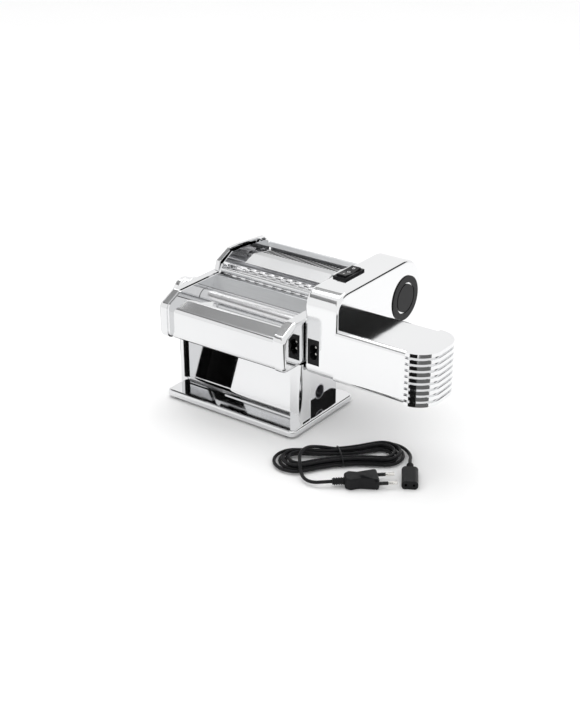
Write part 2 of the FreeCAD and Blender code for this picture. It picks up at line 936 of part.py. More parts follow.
def make_rollers():
    barrel = S.inner_half - S.roller_play
    barrel_radius, neck = S.roller_radius, S.journal_radius
    ends = {
        "front_roller": (S.front_axis_y, CHEEK_OUT + S.journal_stub, GEAR_IN),
        "rear_roller": (REAR_AXIS_Y, CHEEK_OUT + S.block_flange, GEAR_OUT),
    }
    for label, (y, left, right) in ends.items():
        turned(label, [
            (-left, 0),
            (right, 0),
            (right, neck),
            (barrel, neck),
            (barrel, barrel_radius),
            (-barrel, barrel_radius),
            (-barrel, neck),
            (-left, neck),
        ], y, S.roller_axis_z)
    module = 2 * S.roller_radius.number / ROLLER_TEETH
    span = (GEAR_IN, GEAR_OUT)
    half_pitch = math.pi / ROLLER_TEETH
    front = gear(ROLLER_TEETH, module, S.hub_radius, *span, S.front_axis_y, S.roller_axis_z)
    feature("front_roller_gear", front)
    rear = gear(ROLLER_TEETH, module, neck, *span, REAR_AXIS_Y, S.roller_axis_z, math.pi + half_pitch)
    feature("rear_roller_gear", rear)
    body = new_body("drive_socket")
    sketch = new_sketch(body, "YZ_Plane")
    circle(sketch, 0, 0, S.hub_radius)
    pad(body, sketch, S.hub_reach)
    mouth = new_sketch(body, "YZ_Plane", S.hub_reach)
    outline(mouth, hexagon(S.dog_flats + 2 * S.dog_play))
    cut(body, mouth, S.dog_depth + S.dog_play, down=True)
    place(body, GEAR_IN, S.front_axis_y, S.roller_axis_z)


def hexagon(flats):
    """Corners of a hexagon about the origin, from its width over flats."""
    reach = size(flats) / math.sqrt(3)
    return [(reach * math.cos(math.radians(a)), reach * math.sin(math.radians(a))) for a in range(0, 360, 60)]


# Thickness adjuster: the knob turns a snail cam that pushes the rear roller's bearing blocks back
def make_blocks():
    flange_in = CHEEK_OUT + S.block_play
    flange_out = flange_in + S.block_flange
    low, high = S.roller_axis_z - S.block_half, S.roller_axis_z + S.block_half
    front, back = REAR_AXIS_Y - S.block_front, REAR_AXIS_Y + S.block_back
    for label, side in (("left", -1), ("right", 1)):
        name = f"{label}_bearing_block"
        spans = [sorted((side * a, side * b), key=lambda s: s.number) for a, b in (
            (S.inner_half, flange_out), (flange_in, flange_out), (flange_out, flange_out + S.lug_depth))]
        pieces = [
            block(f"{name}_core", *spans[0], front, back, low, high),
            block(f"{name}_flange", *spans[1], front - S.block_lip, back, low - S.block_lip, high + S.block_lip),
        ]
        if side < 0:
            touch = S.front_axis_y + S.cam_radius + S.cam_play
            lug_low, lug_high = S.roller_axis_z - S.lug_half, S.roller_axis_z + S.lug_half
            pieces.append(block(f"{name}_lug", *spans[2], touch, front, lug_low, lug_high))
            pieces.append(block(f"{name}_lug_root", *spans[1], touch, front, lug_low, lug_high))
        solid = joined(f"{name}_solid", pieces)
        bore = rod(f"{name}_bore", S.journal_radius + S.running_fit, *spans[0], REAR_AXIS_Y, S.roller_axis_z)
        keep(less(name, solid, bore), name)
    bar_y = REAR_AXIS_Y + S.block_bar_y
    bar = rod("carriage_tie_bar", S.block_bar_radius, -S.inner_half, S.inner_half, bar_y, S.roller_axis_z)
    keep(bar, "carriage_tie_bar")


CAM_STEPS = 15


def snail_cam():
    """A cam whose radius towards +Y grows steadily as the knob turns."""
    low = S.cam_radius.number
    turn = math.radians(S.cam_turn.number)
    steps = [i / CAM_STEPS for i in range(CAM_STEPS + 1)]
    rise = [(low + S.gap_travel.number * s, -turn * s) for s in steps]
    rest = [(low, angle) for angle in (math.pi / 6, math.pi / 3, math.pi / 2, math.pi / 2 + math.pi / 6)]
    points = [V(0, r * math.cos(a), r * math.sin(a)) for r, a in rise[::-1] + rest]
    face = holed_face(Part.makePolygon(points + points[:1]), S.spindle_radius.number)
    solid = face.extrude(V(-S.cam_width.number, 0, 0))
    solid.translate(V(-cam_face().number, S.front_axis_y.number, S.roller_axis_z.number))
    return solid


def cam_face():
    """How far out the cam's inner face is."""
    return CHEEK_OUT + S.block_play + S.block_flange + S.block_play * 2


def make_adjuster():
    make_blocks()
    feature("snail_cam", snail_cam())
    axis = (S.front_axis_y, S.roller_axis_z)
    face = CAP_OUT + S.knob_stand_off
    spindle_end = face + S.knob_bore_depth - S.spindle_play
    keep(rod("adjuster_spindle", S.spindle_radius, -spindle_end, -cam_face(), *axis), "adjuster_spindle")
    bore = S.spindle_radius + S.running_fit
    flange = S.knob_length / 4
    waist = S.knob_length / 2
    turned("thickness_knob", [
        (0, bore),
        (0, S.knob_radius, S.knob_edge),
        (-flange, S.knob_radius, S.knob_edge),
        (-flange - S.knob_step, S.knob_waist_radius, S.knob_edge),
        (-waist, S.knob_waist_radius, S.knob_edge),
        (-waist - S.knob_step, S.knob_grip_radius, S.knob_edge),
        (-S.knob_length, S.knob_grip_radius, S.knob_dome),
        (-S.knob_length, 0),
        (-S.knob_bore_depth, 0),
        (-S.knob_bore_depth, bore),
    ], *axis, -face)


# Double cutter: lifts off as one unit, with a wide and a fine pair of cutting rollers
CUTTER_TEETH = 12


def cutter_outline():
    """The end view of the cutter, counter-clockwise in Y and Z, stepped over the roller head."""
    seat = S.head_top + S.cutter_seat_gap
    step = S.head_rear + 2 * S.cutter_seat_gap
    corner = 2 * S.cutter_cap_wall
    return [
        (S.cutter_front, seat, S.cutter_cap_round),
        (step, seat),
        (step, S.cutter_low_z, corner),
        (S.cutter_rear, S.cutter_low_z, corner),
        (S.cutter_rear, S.cutter_rear_z, corner),
        (S.cutter_tail_y, S.cutter_tail_z, corner),
        (S.cutter_top_back, S.cutter_top_z, corner),
        (S.cutter_top_y, S.cutter_top_z, corner),
        (S.cutter_brow_y, S.cutter_brow_z, corner),
    ]


def make_cutter_plate(name, x0):
    drawn = S.cutter_plate_inset
    seat = S.head_top + S.cutter_seat_gap
    low = S.cutter_axis_z - S.cutter_plate_drop
    front = S.wide_axis_y - S.cutter_plate_drop
    body = doc.addObject("PartDesign::Body", name)
    sketch = new_sketch(body, "YZ_Plane")
    outline(sketch, [
        (front, low),
        (S.cutter_rear - drawn, low),
        (S.cutter_rear - drawn, S.cutter_rear_z - drawn),
        (S.cutter_tail_y, S.cutter_tail_z - drawn),
        (S.cutter_top_back, S.cutter_top_z - drawn),
        (S.cutter_top_y, S.cutter_top_z - drawn),
        (S.cutter_brow_y + drawn / 2, S.cutter_brow_z - drawn),
        (S.cutter_front + drawn / 2, seat),
        (front, seat),
    ])
    pad(body, sketch, S.cutter_plate_wall)
    holes = new_sketch(body, "YZ_Plane")
    for y in cutter_axes():
        circle(holes, y, S.cutter_axis_z, S.cutter_journal_radius + S.running_fit)
    cut(body, holes, S.cutter_plate_wall)
    return place(body, x0)


def cutter_axes():
    """Where the four cutting rollers turn, from front to back."""
    pairs = (S.wide_axis_y, S.fine_axis_y)
    return [y + offset for y in pairs for offset in (0, S.cutter_spacing)]


def make_cutter_cap(name, side):
    body = doc.addObject("PartDesign::Body", name)
    sketch = new_sketch(body, "YZ_Plane")
    outline(sketch, cutter_outline())
    pad(body, sketch, S.cutter_cap_depth, down=side < 0)
    round_edges(body, S.cutter_cap_round, edge_at("x", side * S.cutter_cap_depth))
    hollow = new_sketch(body, "YZ_Plane")
    outline(hollow, inset(cutter_outline(), S.cutter_cap_wall))
    cut(body, hollow, S.cutter_cap_depth - S.cutter_cap_wall, down=side < 0)
    return place(body, side * CUTTER_HALF)


def cutting_roller(label, y, profile, turn):
    """A roller turned from a profile of (x, radius), with its gear at the left end."""
    corners = [V(x, r, 0) for x, r in profile]
    corners = [V(corners[0].x, 0, 0), *corners, V(corners[-1].x, 0, 0)]
    face = Part.Face(Part.makePolygon(corners + corners[:1]))
    solid = face.revolve(V(), V(1, 0, 0), 360)
    start = profile[0][0] + S.cutter_plate_wall.number + S.cutter_gear_gap.number
    module = S.cutter_spacing.number / CUTTER_TEETH
    bore = S.cutter_journal_radius.number
    wheel = gear(CUTTER_TEETH, module, bore, start, start + S.cutter_gear_width.number, 0, 0, turn)
    whole = solid.fuse(wheel).removeSplitter()
    whole.translate(V(0, y.number, S.cutter_axis_z.number))
    feature(label, whole)


def cutter_profile(odd, pitch, disc, core):
    """Discs in every other half pitch, so that two rollers mesh like combs."""
    end = CUTTER_HALF.number
    left = -end + S.cutter_plate_wall.number + S.cutter_gear_room.number
    right = end - S.cutter_plate_wall.number - 2 * S.cutter_side_gap.number
    gap = S.cutter_side_gap.number
    neck = S.cutter_journal_radius.number
    steps = int((right - left) / (pitch / 2))
    width = (right - left) / steps
    points = [(-end, neck), (left, neck), (left, core)]
    for step in range(steps):
        if step % 2 == odd:
            x0, x1 = left + step * width + gap, left + (step + 1) * width - gap
            points += [(x0, core), (x0, disc), (x1, disc), (x1, core)]
    return points + [(right, core), (right, neck), (end, neck)]


def make_cutter():
    half = CUTTER_HALF
    inner = half - S.cutter_plate_wall
    group("cutter_plates", [make_cutter_plate("left_cutter_plate", -half), make_cutter_plate("right_cutter_plate", inner)])
    group("cutter_caps", [make_cutter_cap("left_cutter_cap", -1), make_cutter_cap("right_cutter_cap", 1)])
    bar = new_body("cutter_front_bar")
    sketch = new_sketch(bar, "YZ_Plane")
    outline(sketch, rectangle(S.bar_front, S.bar_front + S.bar_depth, S.bar_low, S.bar_top, S.bar_round))
    pad(bar, sketch, 2 * inner)
    place(bar, -inner)
    feed = [
        (S.feed_edge_y, S.feed_edge_z),
        (S.feed_ridge_y, S.feed_ridge_z),
        (S.feed_end_y, S.feed_end_z),
    ]
    sheet_part("cutter_feed_plate", feed, S.panel_sheet, S.cutter_cap_round, S.feed_start - inner, inner)
    behind = S.cutter_rear - S.panel_sheet
    rear = [
        (S.rear_plate_edge_y, S.rear_plate_edge_z),
        (behind, S.cutter_rear_z),
        (behind, S.cutter_low_z),
    ]
    sheet_part("cutter_rear_plate", rear, S.panel_sheet, S.panel_sheet, -inner, inner)
    ties = []
    for i, y in enumerate((S.cutter_tie_front_y, S.cutter_tie_rear_y)):
        ties.append(rod(f"cutter_tie_{i}", S.cutter_tie_radius, -inner, inner, y, S.cutter_tie_z))
    group("cutter_tie_rods", ties)
    half_pitch = math.pi / CUTTER_TEETH
    disc, core = S.cutter_disc_radius.number, S.cutter_core_radius.number
    even = S.fine_cutter_radius.number
    axes = cutter_axes()
    for i, label in enumerate(("wide_cutter_front", "wide_cutter_rear")):
        profile = cutter_profile(i, S.wide_pitch.number, disc, core)
        cutting_roller(label, axes[i], profile, i * (math.pi + half_pitch))
    for i, label in enumerate(("fine_cutter_front", "fine_cutter_rear")):
        profile = [point for point in cutter_profile(2, S.wide_pitch.number, even, even)]
        cutting_roller(label, axes[2 + i], profile, i * (math.pi + half_pitch))


# Motor unit: a two-part case with a barrel, a gear train and the mains fittings
def motor_outline():
    """The end view of the gear case, counter-clockwise in Y and Z."""
    return [
        (S.motor_front, S.motor_bottom, S.heel_round),
        (S.motor_tail, S.motor_tail_low, TAIL_ROUND),
        (S.motor_tail, S.motor_top, TAIL_ROUND),
        (S.motor_front, S.motor_top, S.nose_round),
    ]


def switch_cutout(drawn=0):
    """Corners, seen from above, of the hole for the switch, drawn in by a margin."""
    across, along = S.switch_width / 2 - drawn, S.switch_length / 2 - drawn
    return rectangle(S.switch_x - across, S.switch_x + across, S.switch_y - along, S.switch_y + along)


def inlet_corners():
    """Corners of the mains inlet in the front face."""
    high = S.inlet_low + S.inlet_height
    return rectangle(S.inlet_x, S.inlet_x + S.inlet_width, S.inlet_low, high)


def make_inner_case():
    body = new_body("motor_inner_case")
    sketch = new_sketch(body, "YZ_Plane")
    outline(sketch, motor_outline())
    pad(body, sketch, S.slab_half)
    round_edges(body, S.case_round, edge_at("x", 0))
    hollow = new_sketch(body, "YZ_Plane", S.case_wall)
    outline(hollow, inset(motor_outline(), S.case_wall))
    cut(body, hollow, S.slab_half - S.case_wall)
    bore = new_sketch(body, "YZ_Plane")
    circle(bore, S.front_axis_y, S.roller_axis_z, S.output_radius + S.running_fit)
    cut(body, bore, S.case_wall)
    inlet = new_sketch(body, "XZ_Plane", -S.motor_front)
    outline(inlet, inlet_corners())
    cut(body, inlet, 2 * S.case_wall, down=True)
    switch = new_sketch(body, "XY_Plane", S.motor_top)
    outline(switch, switch_cutout())
    cut(body, switch, 2 * S.case_wall, down=True)
    place(body, SLAB_IN)


def barrel_outline():
    return rectangle(S.motor_front, S.barrel_back, S.barrel_low, S.barrel_top, S.barrel_round)


def make_outer_case():
    body = new_body("motor_outer_case")
    sketch = new_sketch(body, "YZ_Plane")
    outline(sketch, motor_outline())
    pad(body, sketch, S.slab_half)
    round_edges(body, S.case_round, edge_at("x", S.slab_half))
    barrel = new_sketch(body, "YZ_Plane", S.slab_half - S.case_round)
    outline(barrel, barrel_outline())
    pad(body, barrel, S.barrel_length + S.case_round)
    hollow = new_sketch(body, "YZ_Plane")
    outline(hollow, inset(motor_outline(), S.case_wall))
    cut(body, hollow, S.slab_half - S.case_wall)
    chamber = new_sketch(body, "YZ_Plane", S.slab_half - S.case_wall)
    outline(chamber, inset(barrel_outline(), S.case_wall))
    cut(body, chamber, S.barrel_length + S.case_wall)
    place(body, SEAM)


def fin_outline(drawn=0):
    """The plan of the finned end, drawn in by a margin."""
    front, back, reach = S.motor_front + drawn, S.barrel_back - drawn, S.fin_reach - drawn
    corner = S.fin_round - drawn
    return [(0, front), (reach, front, corner), (reach, back, corner), (0, back)]


def make_fins():
    height = S.barrel_top - S.barrel_low
    body = new_body("finned_end_cap")
    core = new_sketch(body, "XY_Plane", S.barrel_low)
    outline(core, fin_outline(S.fin_depth))
    pad(body, core, height)
    fin_sketch = new_sketch(body, "XY_Plane", S.barrel_low)
    outline(fin_sketch, fin_outline())
    fin = pad(body, fin_sketch, S.fin_height)
    pattern = body.newObject("PartDesign::LinearPattern", "fin_row")
    pattern.Originals = [fin]
    pattern.Direction = (fin_sketch, ["N_Axis"])
    pattern.setExpression("Length", (height - S.fin_height).text)
    pattern.setExpression("Occurrences", S.fin_count.text)
    body.Tip = pattern
    doc.recompute()
    place(body, BARREL_OUT)


def rod_y(name, radius, y0, y1, x, z):
    """A round bar along Y."""
    bar = doc.addObject("Part::Cylinder", name)
    bar.setExpression("Radius", size(radius).text)
    bar.setExpression("Height", (size(y1) - size(y0)).text)
    bar.Placement = FreeCAD.Placement(V(), FreeCAD.Rotation(V(1, 0, 0), -90))
    return place(bar, x, y0, z)


def make_inlet():
    middle_x = S.inlet_x + S.inlet_width / 2
    middle_z = S.inlet_low + S.inlet_height / 2
    apart = S.inlet_hole_spacing / 2
    body = new_body("mains_inlet")
    sketch = new_sketch(body, "XZ_Plane", -S.motor_front)
    outline(sketch, inlet_corners())
    pad(body, sketch, S.inlet_depth, down=True)
    for z in (middle_z - apart, middle_z + apart):
        recess = new_sketch(body, "XZ_Plane", -S.motor_front)
        circle(recess, middle_x, z, S.inlet_hole_radius)
        cut(body, recess, S.inlet_hole_depth, down=True)
    bridge = new_sketch(body, "XZ_Plane", -S.motor_front)
    wide = S.inlet_hole_radius * 0.8
    outline(bridge, rectangle(middle_x - wide, middle_x + wide, middle_z - apart, middle_z + apart))
    cut(body, bridge, S.inlet_hole_depth, down=True)
    place(body, SLAB_IN)
    pins = []
    floor = S.motor_front + S.inlet_hole_depth
    for i, z in enumerate((middle_z - apart, middle_z + apart)):
        tip = floor - S.inlet_pin_length
        pins.append(rod_y(f"inlet_pin_{i}", S.inlet_pin_radius, tip, floor, SLAB_IN + middle_x, z))
    group("inlet_pins", pins)


def make_switch():
    body = new_body("switch_frame")
    rim = new_sketch(body, "XY_Plane", S.motor_top)
    outline(rim, switch_cutout(-S.switch_rim))
    pad(body, rim, S.switch_rim_height)
    shell = new_sketch(body, "XY_Plane", S.motor_top)
    outline(shell, switch_cutout())
    pad(body, shell, S.switch_depth, down=True)
    well = new_sketch(body, "XY_Plane", S.motor_top + S.switch_rim_height)
    outline(well, switch_cutout(S.switch_wall))
    cut(body, well, S.switch_rim_height + S.switch_depth / 2, down=True)
    bores = new_sketch(body, "YZ_Plane", S.switch_x - S.switch_width / 2)
    circle(bores, S.switch_y, S.motor_top - S.pivot_drop, S.pivot_radius + S.running_fit)
    cut(body, bores, S.switch_width)
    place(body, SLAB_IN)
    along = S.switch_length / 2 - S.switch_wall - 2 * S.rocker_play
    across = S.switch_width - 2 * S.switch_wall - 2 * S.rocker_play
    rocker = new_body("switch_rocker")
    side = new_sketch(rocker, "YZ_Plane")
    outline(side, [
        (-along / 2, -S.rocker_depth),
        (along / 2, -S.rocker_depth),
        (along, 0),
        (along, S.rocker_rise),
        (0, S.rocker_dip),
        (-along, S.rocker_rise),
        (-along, 0),
    ])
    pad(rocker, side, across)
    reach = S.rocker_play + S.switch_wall / 2
    pivot = new_sketch(rocker, "YZ_Plane", -reach)
    circle(pivot, 0, -S.pivot_drop, S.pivot_radius)
    pad(rocker, pivot, across + 2 * reach)
    place(rocker, SLAB_IN + S.switch_x - across / 2, S.switch_y, S.motor_top)


def idler_axis():
    """Where the compound gear turns, from its distances to the motor and output axes."""
    play = S.mesh_play.number
    to_motor = S.wheel_module.number * (S.pinion_teeth.number + S.wheel_teeth.number) / 2 + play
    to_output = S.output_module.number * (S.small_teeth.number + S.output_teeth.number) / 2 + play
    motor = V(S.motor_axis_y.number, S.motor_axis_z.number, 0)
    line = V(S.front_axis_y.number, S.roller_axis_z.number, 0) - motor
    apart = line.Length
    line.normalize()
    along = (to_motor ** 2 - to_output ** 2 + apart ** 2) / (2 * apart)
    beyond = math.sqrt(to_motor ** 2 - along ** 2)
    centre = motor + line * along + V(line.y, -line.x, 0) * beyond
    return centre.x, centre.y


def make_train():
    idler_y, idler_z = idler_axis()
    motor = (S.motor_axis_y, S.motor_axis_z)
    output = (S.front_axis_y, S.roller_axis_z)
    idler = (idler_y, idler_z)
    first = (SEAM + S.train_start, SEAM + S.train_start + S.train_width)
    second = (first[1] + S.train_gap, first[1] + S.train_gap + S.train_width)
    shaft_end = BARREL_OUT - S.bracket_wall
    wheel_module, output_module = S.wheel_module.number, S.output_module.number
    pinion_teeth, wheel_teeth = int(S.pinion_teeth.number), int(S.wheel_teeth.number)
    small_teeth, output_teeth = int(S.small_teeth.number), int(S.output_teeth.number)
    fit = S.idler_radius + S.running_fit
    pinion = gear(pinion_teeth, wheel_module, S.shaft_radius / 2, *second, *motor, direction(*motor, *idler))
    stator_x = SLAB_OUT + S.stator_start
    fan_x = stator_x + S.stator_length + S.fan_width / 2
    gap = S.stator_start / 4
    armature = joined("armature", [
        piece("pinion", pinion),
        rod("armature_shaft", S.shaft_radius, second[0], shaft_end + S.bracket_wall, *motor),
        rod("armature_core", S.stator_bore - S.air_gap, stator_x, stator_x + S.stator_length, *motor),
        rod("commutator", S.commutator_radius, SLAB_OUT + gap, stator_x - gap, *motor),
        rod("cooling_fan", S.fan_radius, fan_x, fan_x + S.fan_width, *motor),
    ])
    keep(armature, "armature")
    gap_turn = math.pi / wheel_teeth
    wheel = gear(wheel_teeth, wheel_module, fit, *second, *idler, direction(*idler, *motor) + gap_turn)
    small = gear(small_teeth, output_module, fit, first[0], second[0], *idler, direction(*idler, *output))
    feature("compound_gear", wheel.fuse(small))
    wall_in = SLAB_OUT - S.case_wall
    keep(rod("idler_pin", S.idler_radius, first[0] - S.train_start / 2, wall_in, *idler), "idler_pin")
    gap_turn = math.pi / output_teeth
    bore = S.output_radius / 2
    last = gear(output_teeth, output_module, bore, *first, *output, direction(*output, *idler) + gap_turn)
    dog_tip = SLAB_IN - S.dog_depth
    flats = [V(0, x.number, y.number) for x, y in hexagon(S.dog_flats)]
    dog = Part.Face(Part.makePolygon(flats + flats[:1])).extrude(V(S.dog_depth.number, 0, 0))
    dog.translate(V(dog_tip.number, S.front_axis_y.number, S.roller_axis_z.number))
    shaft = rod("output_shaft", S.output_radius, SLAB_IN, first[1], *output)
    keep(joined("output_drive", [piece("output_gear", last), shaft, piece("drive_dog", dog)]), "output_drive")
    inside = SLAB_IN + S.case_wall
    bush = ring("output_bush", S.output_bush_radius, S.output_radius + S.running_fit,
                inside, inside + S.output_bush_length, *output)
    keep(bush, "output_bush")


def room_plate(name, x, length, hole):
    """A plate across the barrel's inside, with a round hole on the motor's axis."""
    wall = S.case_wall
    body = doc.addObject("PartDesign::Body", name)
    sketch = new_sketch(body, "YZ_Plane")
    depth = (S.motor_front + wall, S.barrel_back - wall)
    outline(sketch, rectangle(*depth, S.barrel_low + wall, S.barrel_top - wall, S.barrel_round))
    circle(sketch, S.motor_axis_y, S.motor_axis_z, hole)
    pad(body, sketch, length)
    return place(body, x)


def make_motor():
    keep(room_plate("stator", SLAB_OUT + S.stator_start, S.stator_length, S.stator_bore), "stator")
    brackets = []
    for i, x in enumerate((SLAB_OUT, BARREL_OUT - S.bracket_wall)):
        brackets.append(room_plate(f"bracket_{i}", x, S.bracket_wall, S.shaft_radius + S.running_fit))
    group("bearing_brackets", brackets)
    pegs = []
    for i, z in enumerate((S.peg_low_z, S.peg_high_z)):
        pegs.append(rod(f"peg_{i}", S.peg_radius, SLAB_IN - S.peg_reach, SLAB_IN, S.peg_y, z))
    group("locating_pegs", pegs)
    radius = TAIL_HEIGHT * S.emblem_share
    centre = (
        S.motor_tail - TAIL_HEIGHT * S.emblem_inset_share,
        S.motor_tail_low + TAIL_HEIGHT * S.emblem_rise_share,
    )
    face = (SLAB_OUT, SLAB_OUT + S.emblem_height, *centre)
    disc = rod("emblem_disc", radius * S.emblem_disc_share, *face)
    rim = ring("emblem_rim", radius, radius * S.emblem_hollow_share, *face)
    group("emblem_trim", [disc, rim])


# Mains lead: a hank of long loops drawn in by a tie, with leads to the plug and the connector
CORD_REVERSE = 6
CORD_LAST = 10
# The lead to the plug rises over the hank's left end and comes down in front, in the hank's frame
PLUG_ROUTE = [
    (-20, 15, 11),
    (-36, 9, 15.5),
    (-46, -6, 16.5),
    (-48, -20, 13),
    (-48.5, -32, 6),
    (-45.5, -43, 4.5),
    (-37.5, -51, 5),
]


def bow(start, heading, end):
    """An arc that leaves a point along a heading and reaches another point, or a line if it can."""
    chord = end - start
    aside = chord - heading * chord.dot(heading)
    if aside.Length < 1e-6:
        return Part.LineSegment(start, end).toShape()
    aside.normalize()
    centre = start + aside * (chord.dot(chord) / (2 * chord.dot(aside)))
    middle = ((start - centre) + (end - centre)).normalize()
    return Part.Arc(start, centre + middle * (start - centre).Length, end).toShape()


def biarc(start, heading, end, leaving):
    """Two arcs that join two points smoothly, and the heading where they meet."""
    chord = end - start
    spread = 2 * (heading.dot(leaving) - 1)
    slope = -2 * chord.dot(heading + leaving)
    if abs(spread) < 1e-9:
        reach = -chord.dot(chord) / slope
    else:
        reach = (-slope - math.sqrt(slope ** 2 - 4 * spread * chord.dot(chord))) / (2 * spread)
    before, after = start + heading * reach, end - leaving * reach
    joint = (before + after) * 0.5
    arcs = [bow(start, heading, joint), bow(end, leaving * -1, joint)]
    return arcs, joint, (after - before).normalize()


def hank_run(run):
    """Where one run of the hank starts and ends, with its headings, in the hank's own frame."""
    half, waist = S.hank_half.number, S.hank_waist.number
    low = S.hank_low.number
    high = low + S.hank_layer_step.number
    side = 1 if run % 2 == 0 else -1
    lane = side * (S.hank_inner.number + S.hank_step.number / 2 * abs(run - CORD_REVERSE))
    tilt = 2 * math.atan(waist / half)
    start = V(side * half, lane, low if run <= CORD_REVERSE else high)
    end = V(-side * half, lane, low if run < CORD_REVERSE else high)
    inward = V(-side * math.cos(tilt), -side * math.sin(tilt), 0)
    outward = V(-side * math.cos(tilt), side * math.sin(tilt), 0)
    return start, inward, end, outward


def hank_path():
    """Edges along the hank from its right end, with the start, its heading, the end and its heading."""
    edges = []
    last_start, last_heading, last_end, last_leaving = hank_run(-1)
    bend, here, heading = biarc(last_end, last_leaving, *hank_run(0)[:2])
    first = (here, heading)
    edges.append(bend[1])
    for run in range(CORD_LAST):
        start, inward, end, outward = hank_run(run)
        if run == CORD_REVERSE:
            edges += biarc(start, inward, end, outward)[0]
        else:
            edges.append(bow(start, inward, end))
        edges += biarc(end, outward, *hank_run(run + 1)[:2])[0]
    start, inward, end, outward = hank_run(CORD_LAST)
    middle = V(0, start.y - S.hank_waist.number, start.z)
    edges.append(bow(start, inward, middle))
    along = V(-1, 0, 0)
    tip = middle + along * S.hank_end.number
    edges.append(Part.LineSegment(middle, tip).toShape())
    return edges, first, (tip, along)


def tube(edges, start, heading):
    """A round tube along joined edges."""
    wire = Part.Wire(edges)
    section = Part.Wire(Part.makeCircle(S.cord_radius.number, start, heading))
    return wire.makePipeShell([section], True, False), wire


def own_gap(wire, spacing=1.5):
    """The least clear space between parts of the tube that are not neighbours."""
    points = wire.discretize(Distance=spacing)
    near = int(8 * S.cord_radius.number / spacing)
    least = 1e9
    for i, point in enumerate(points):
        for other in points[i + near:]:
            least = min(least, point.distanceToPoint(other))
    return least - 2 * S.cord_radius.number


def hank_frame():
    """The hank's place in the machine's frame."""
    turn = FreeCAD.Rotation(V(0, 0, 1), S.hank_angle.number)
    return FreeCAD.Placement(V((SLAB_OUT + S.hank_beyond).number, S.hank_y.number, 0), turn)


def make_hank():
    edges, first, last = hank_path()
    solid, wire = tube(edges, *first)
    print("cord_hank length", round(wire.Length), "least gap", round(own_gap(wire), 2))
    solid.Placement = hank_frame()
    feature("cord_hank", solid)
    radius = S.cord_radius.number
    waist_out = hank_run(0)[0].y - S.hank_waist.number + radius + S.tie_gap.number
    over = S.hank_low.number + S.hank_layer_step.number + radius + S.tie_gap.number
    under = S.hank_low.number - radius - S.tie_gap.number
    wall = S.tie_wall.number
    rings = []
    for grow in (wall, 0):
        rings.append(Part.makePolygon([
            V(0, -waist_out - grow, under - grow),
            V(0, waist_out + grow, under - grow),
            V(0, waist_out + grow, over + grow),
            V(0, -waist_out - grow, over + grow),
            V(0, -waist_out - grow, under - grow),
        ]))
    band = Part.makeFace(rings, "Part::FaceMakerBullseye").extrude(V(S.tie_width.number, 0, 0))
    band.translate(V(-S.tie_width.number / 2, 0, 0))
    band.Placement = hank_frame().multiply(band.Placement)
    feature("hank_tie", band)
    return first, last


def lead(label, points):
    """A stretch of cord on straight runs and tangent arcs."""
    runs = [(b - a).Length for a, b in zip(points, points[1:])]
    edges = []
    here = points[0]
    for i in range(1, len(points) - 1):
        back = (points[i - 1] - points[i]).normalize()
        ahead = (points[i + 1] - points[i]).normalize()
        half = back.getAngle(ahead) / 2
        reach = 0.45 * min(runs[i - 1], runs[i])
        enter, leave = points[i] + back * reach, points[i] + ahead * reach
        edges.append(Part.LineSegment(here, enter).toShape())
        edges.append(bow(enter, back * -1, leave))
        print(label, "bend radius", round(reach * math.tan(half), 1))
        here = leave
    edges.append(Part.LineSegment(here, points[-1]).toShape())
    solid, wire = tube(edges, points[0], (points[1] - points[0]).normalize())
    section = math.pi * S.cord_radius.number ** 2
    print(label, "length", round(wire.Length), "volume ratio", round(solid.Volume / (section * wire.Length), 4))
    feature(label, solid)


def turned_frame(x, y, z, angle):
    """A frame on the table whose X axis points along an angle."""
    return FreeCAD.Placement(V(x.number, y.number, z), FreeCAD.Rotation(V(0, 0, 1), angle.number))


def fitted(body, frame):
    """Put a body in a turned frame of the machine."""
    body.Placement = FreeCAD.Placement(V(SHIFT_X.number, SHIFT_Y.number, 0), FreeCAD.Rotation()).multiply(frame)
    return body


def make_plug():
    frame = turned_frame(SLAB_OUT + S.plug_beyond, S.plug_y, 0, S.plug_angle)
    body = new_body("plug_body")
    sketch = new_sketch(body, "XY_Plane")
    length, half, neck, flare = S.plug_length, S.plug_half, S.plug_neck, S.plug_flare
    upper = [(0, half), (-length * 0.6, neck), (-length * 0.85, flare), (-length, flare * 0.6)]
    lower = [(x, -size(y)) for x, y in upper]
    rounds = (S.plug_round, 2 * S.plug_round, S.plug_round, S.plug_round)
    corners = [(*c, r) for c, r in zip(upper, rounds)] + [(*c, r) for c, r in zip(lower, rounds)][::-1]
    outline(sketch, corners)
    pad(body, sketch, S.plug_height)
    for level in (0, S.plug_height):
        round_edges(body, S.plug_round * 0.8, edge_at("z", level))
    collar = new_sketch(body, "YZ_Plane", -length - S.plug_sleeve_length)
    circle(collar, 0, S.plug_height / 2, S.plug_sleeve)
    pad(body, collar, S.plug_sleeve_length + S.plug_round)
    fitted(body, frame)
    pins = []
    radius = S.plug_pin_radius.number
    for side in (-1, 1):
        foot = V(0, side * S.plug_pin_spacing.number / 2, S.plug_height.number / 2)
        pins.append(Part.makeCylinder(radius, S.plug_pin_length.number, foot, V(1, 0, 0)))
    both = Part.makeCompound(pins)
    both.Placement = frame
    feature("plug_pins", both)
    back = V(-(length + S.plug_sleeve_length).number, 0, S.plug_height.number / 2)
    return frame.multVec(back), frame.Rotation.multVec(V(1, 0, 0))


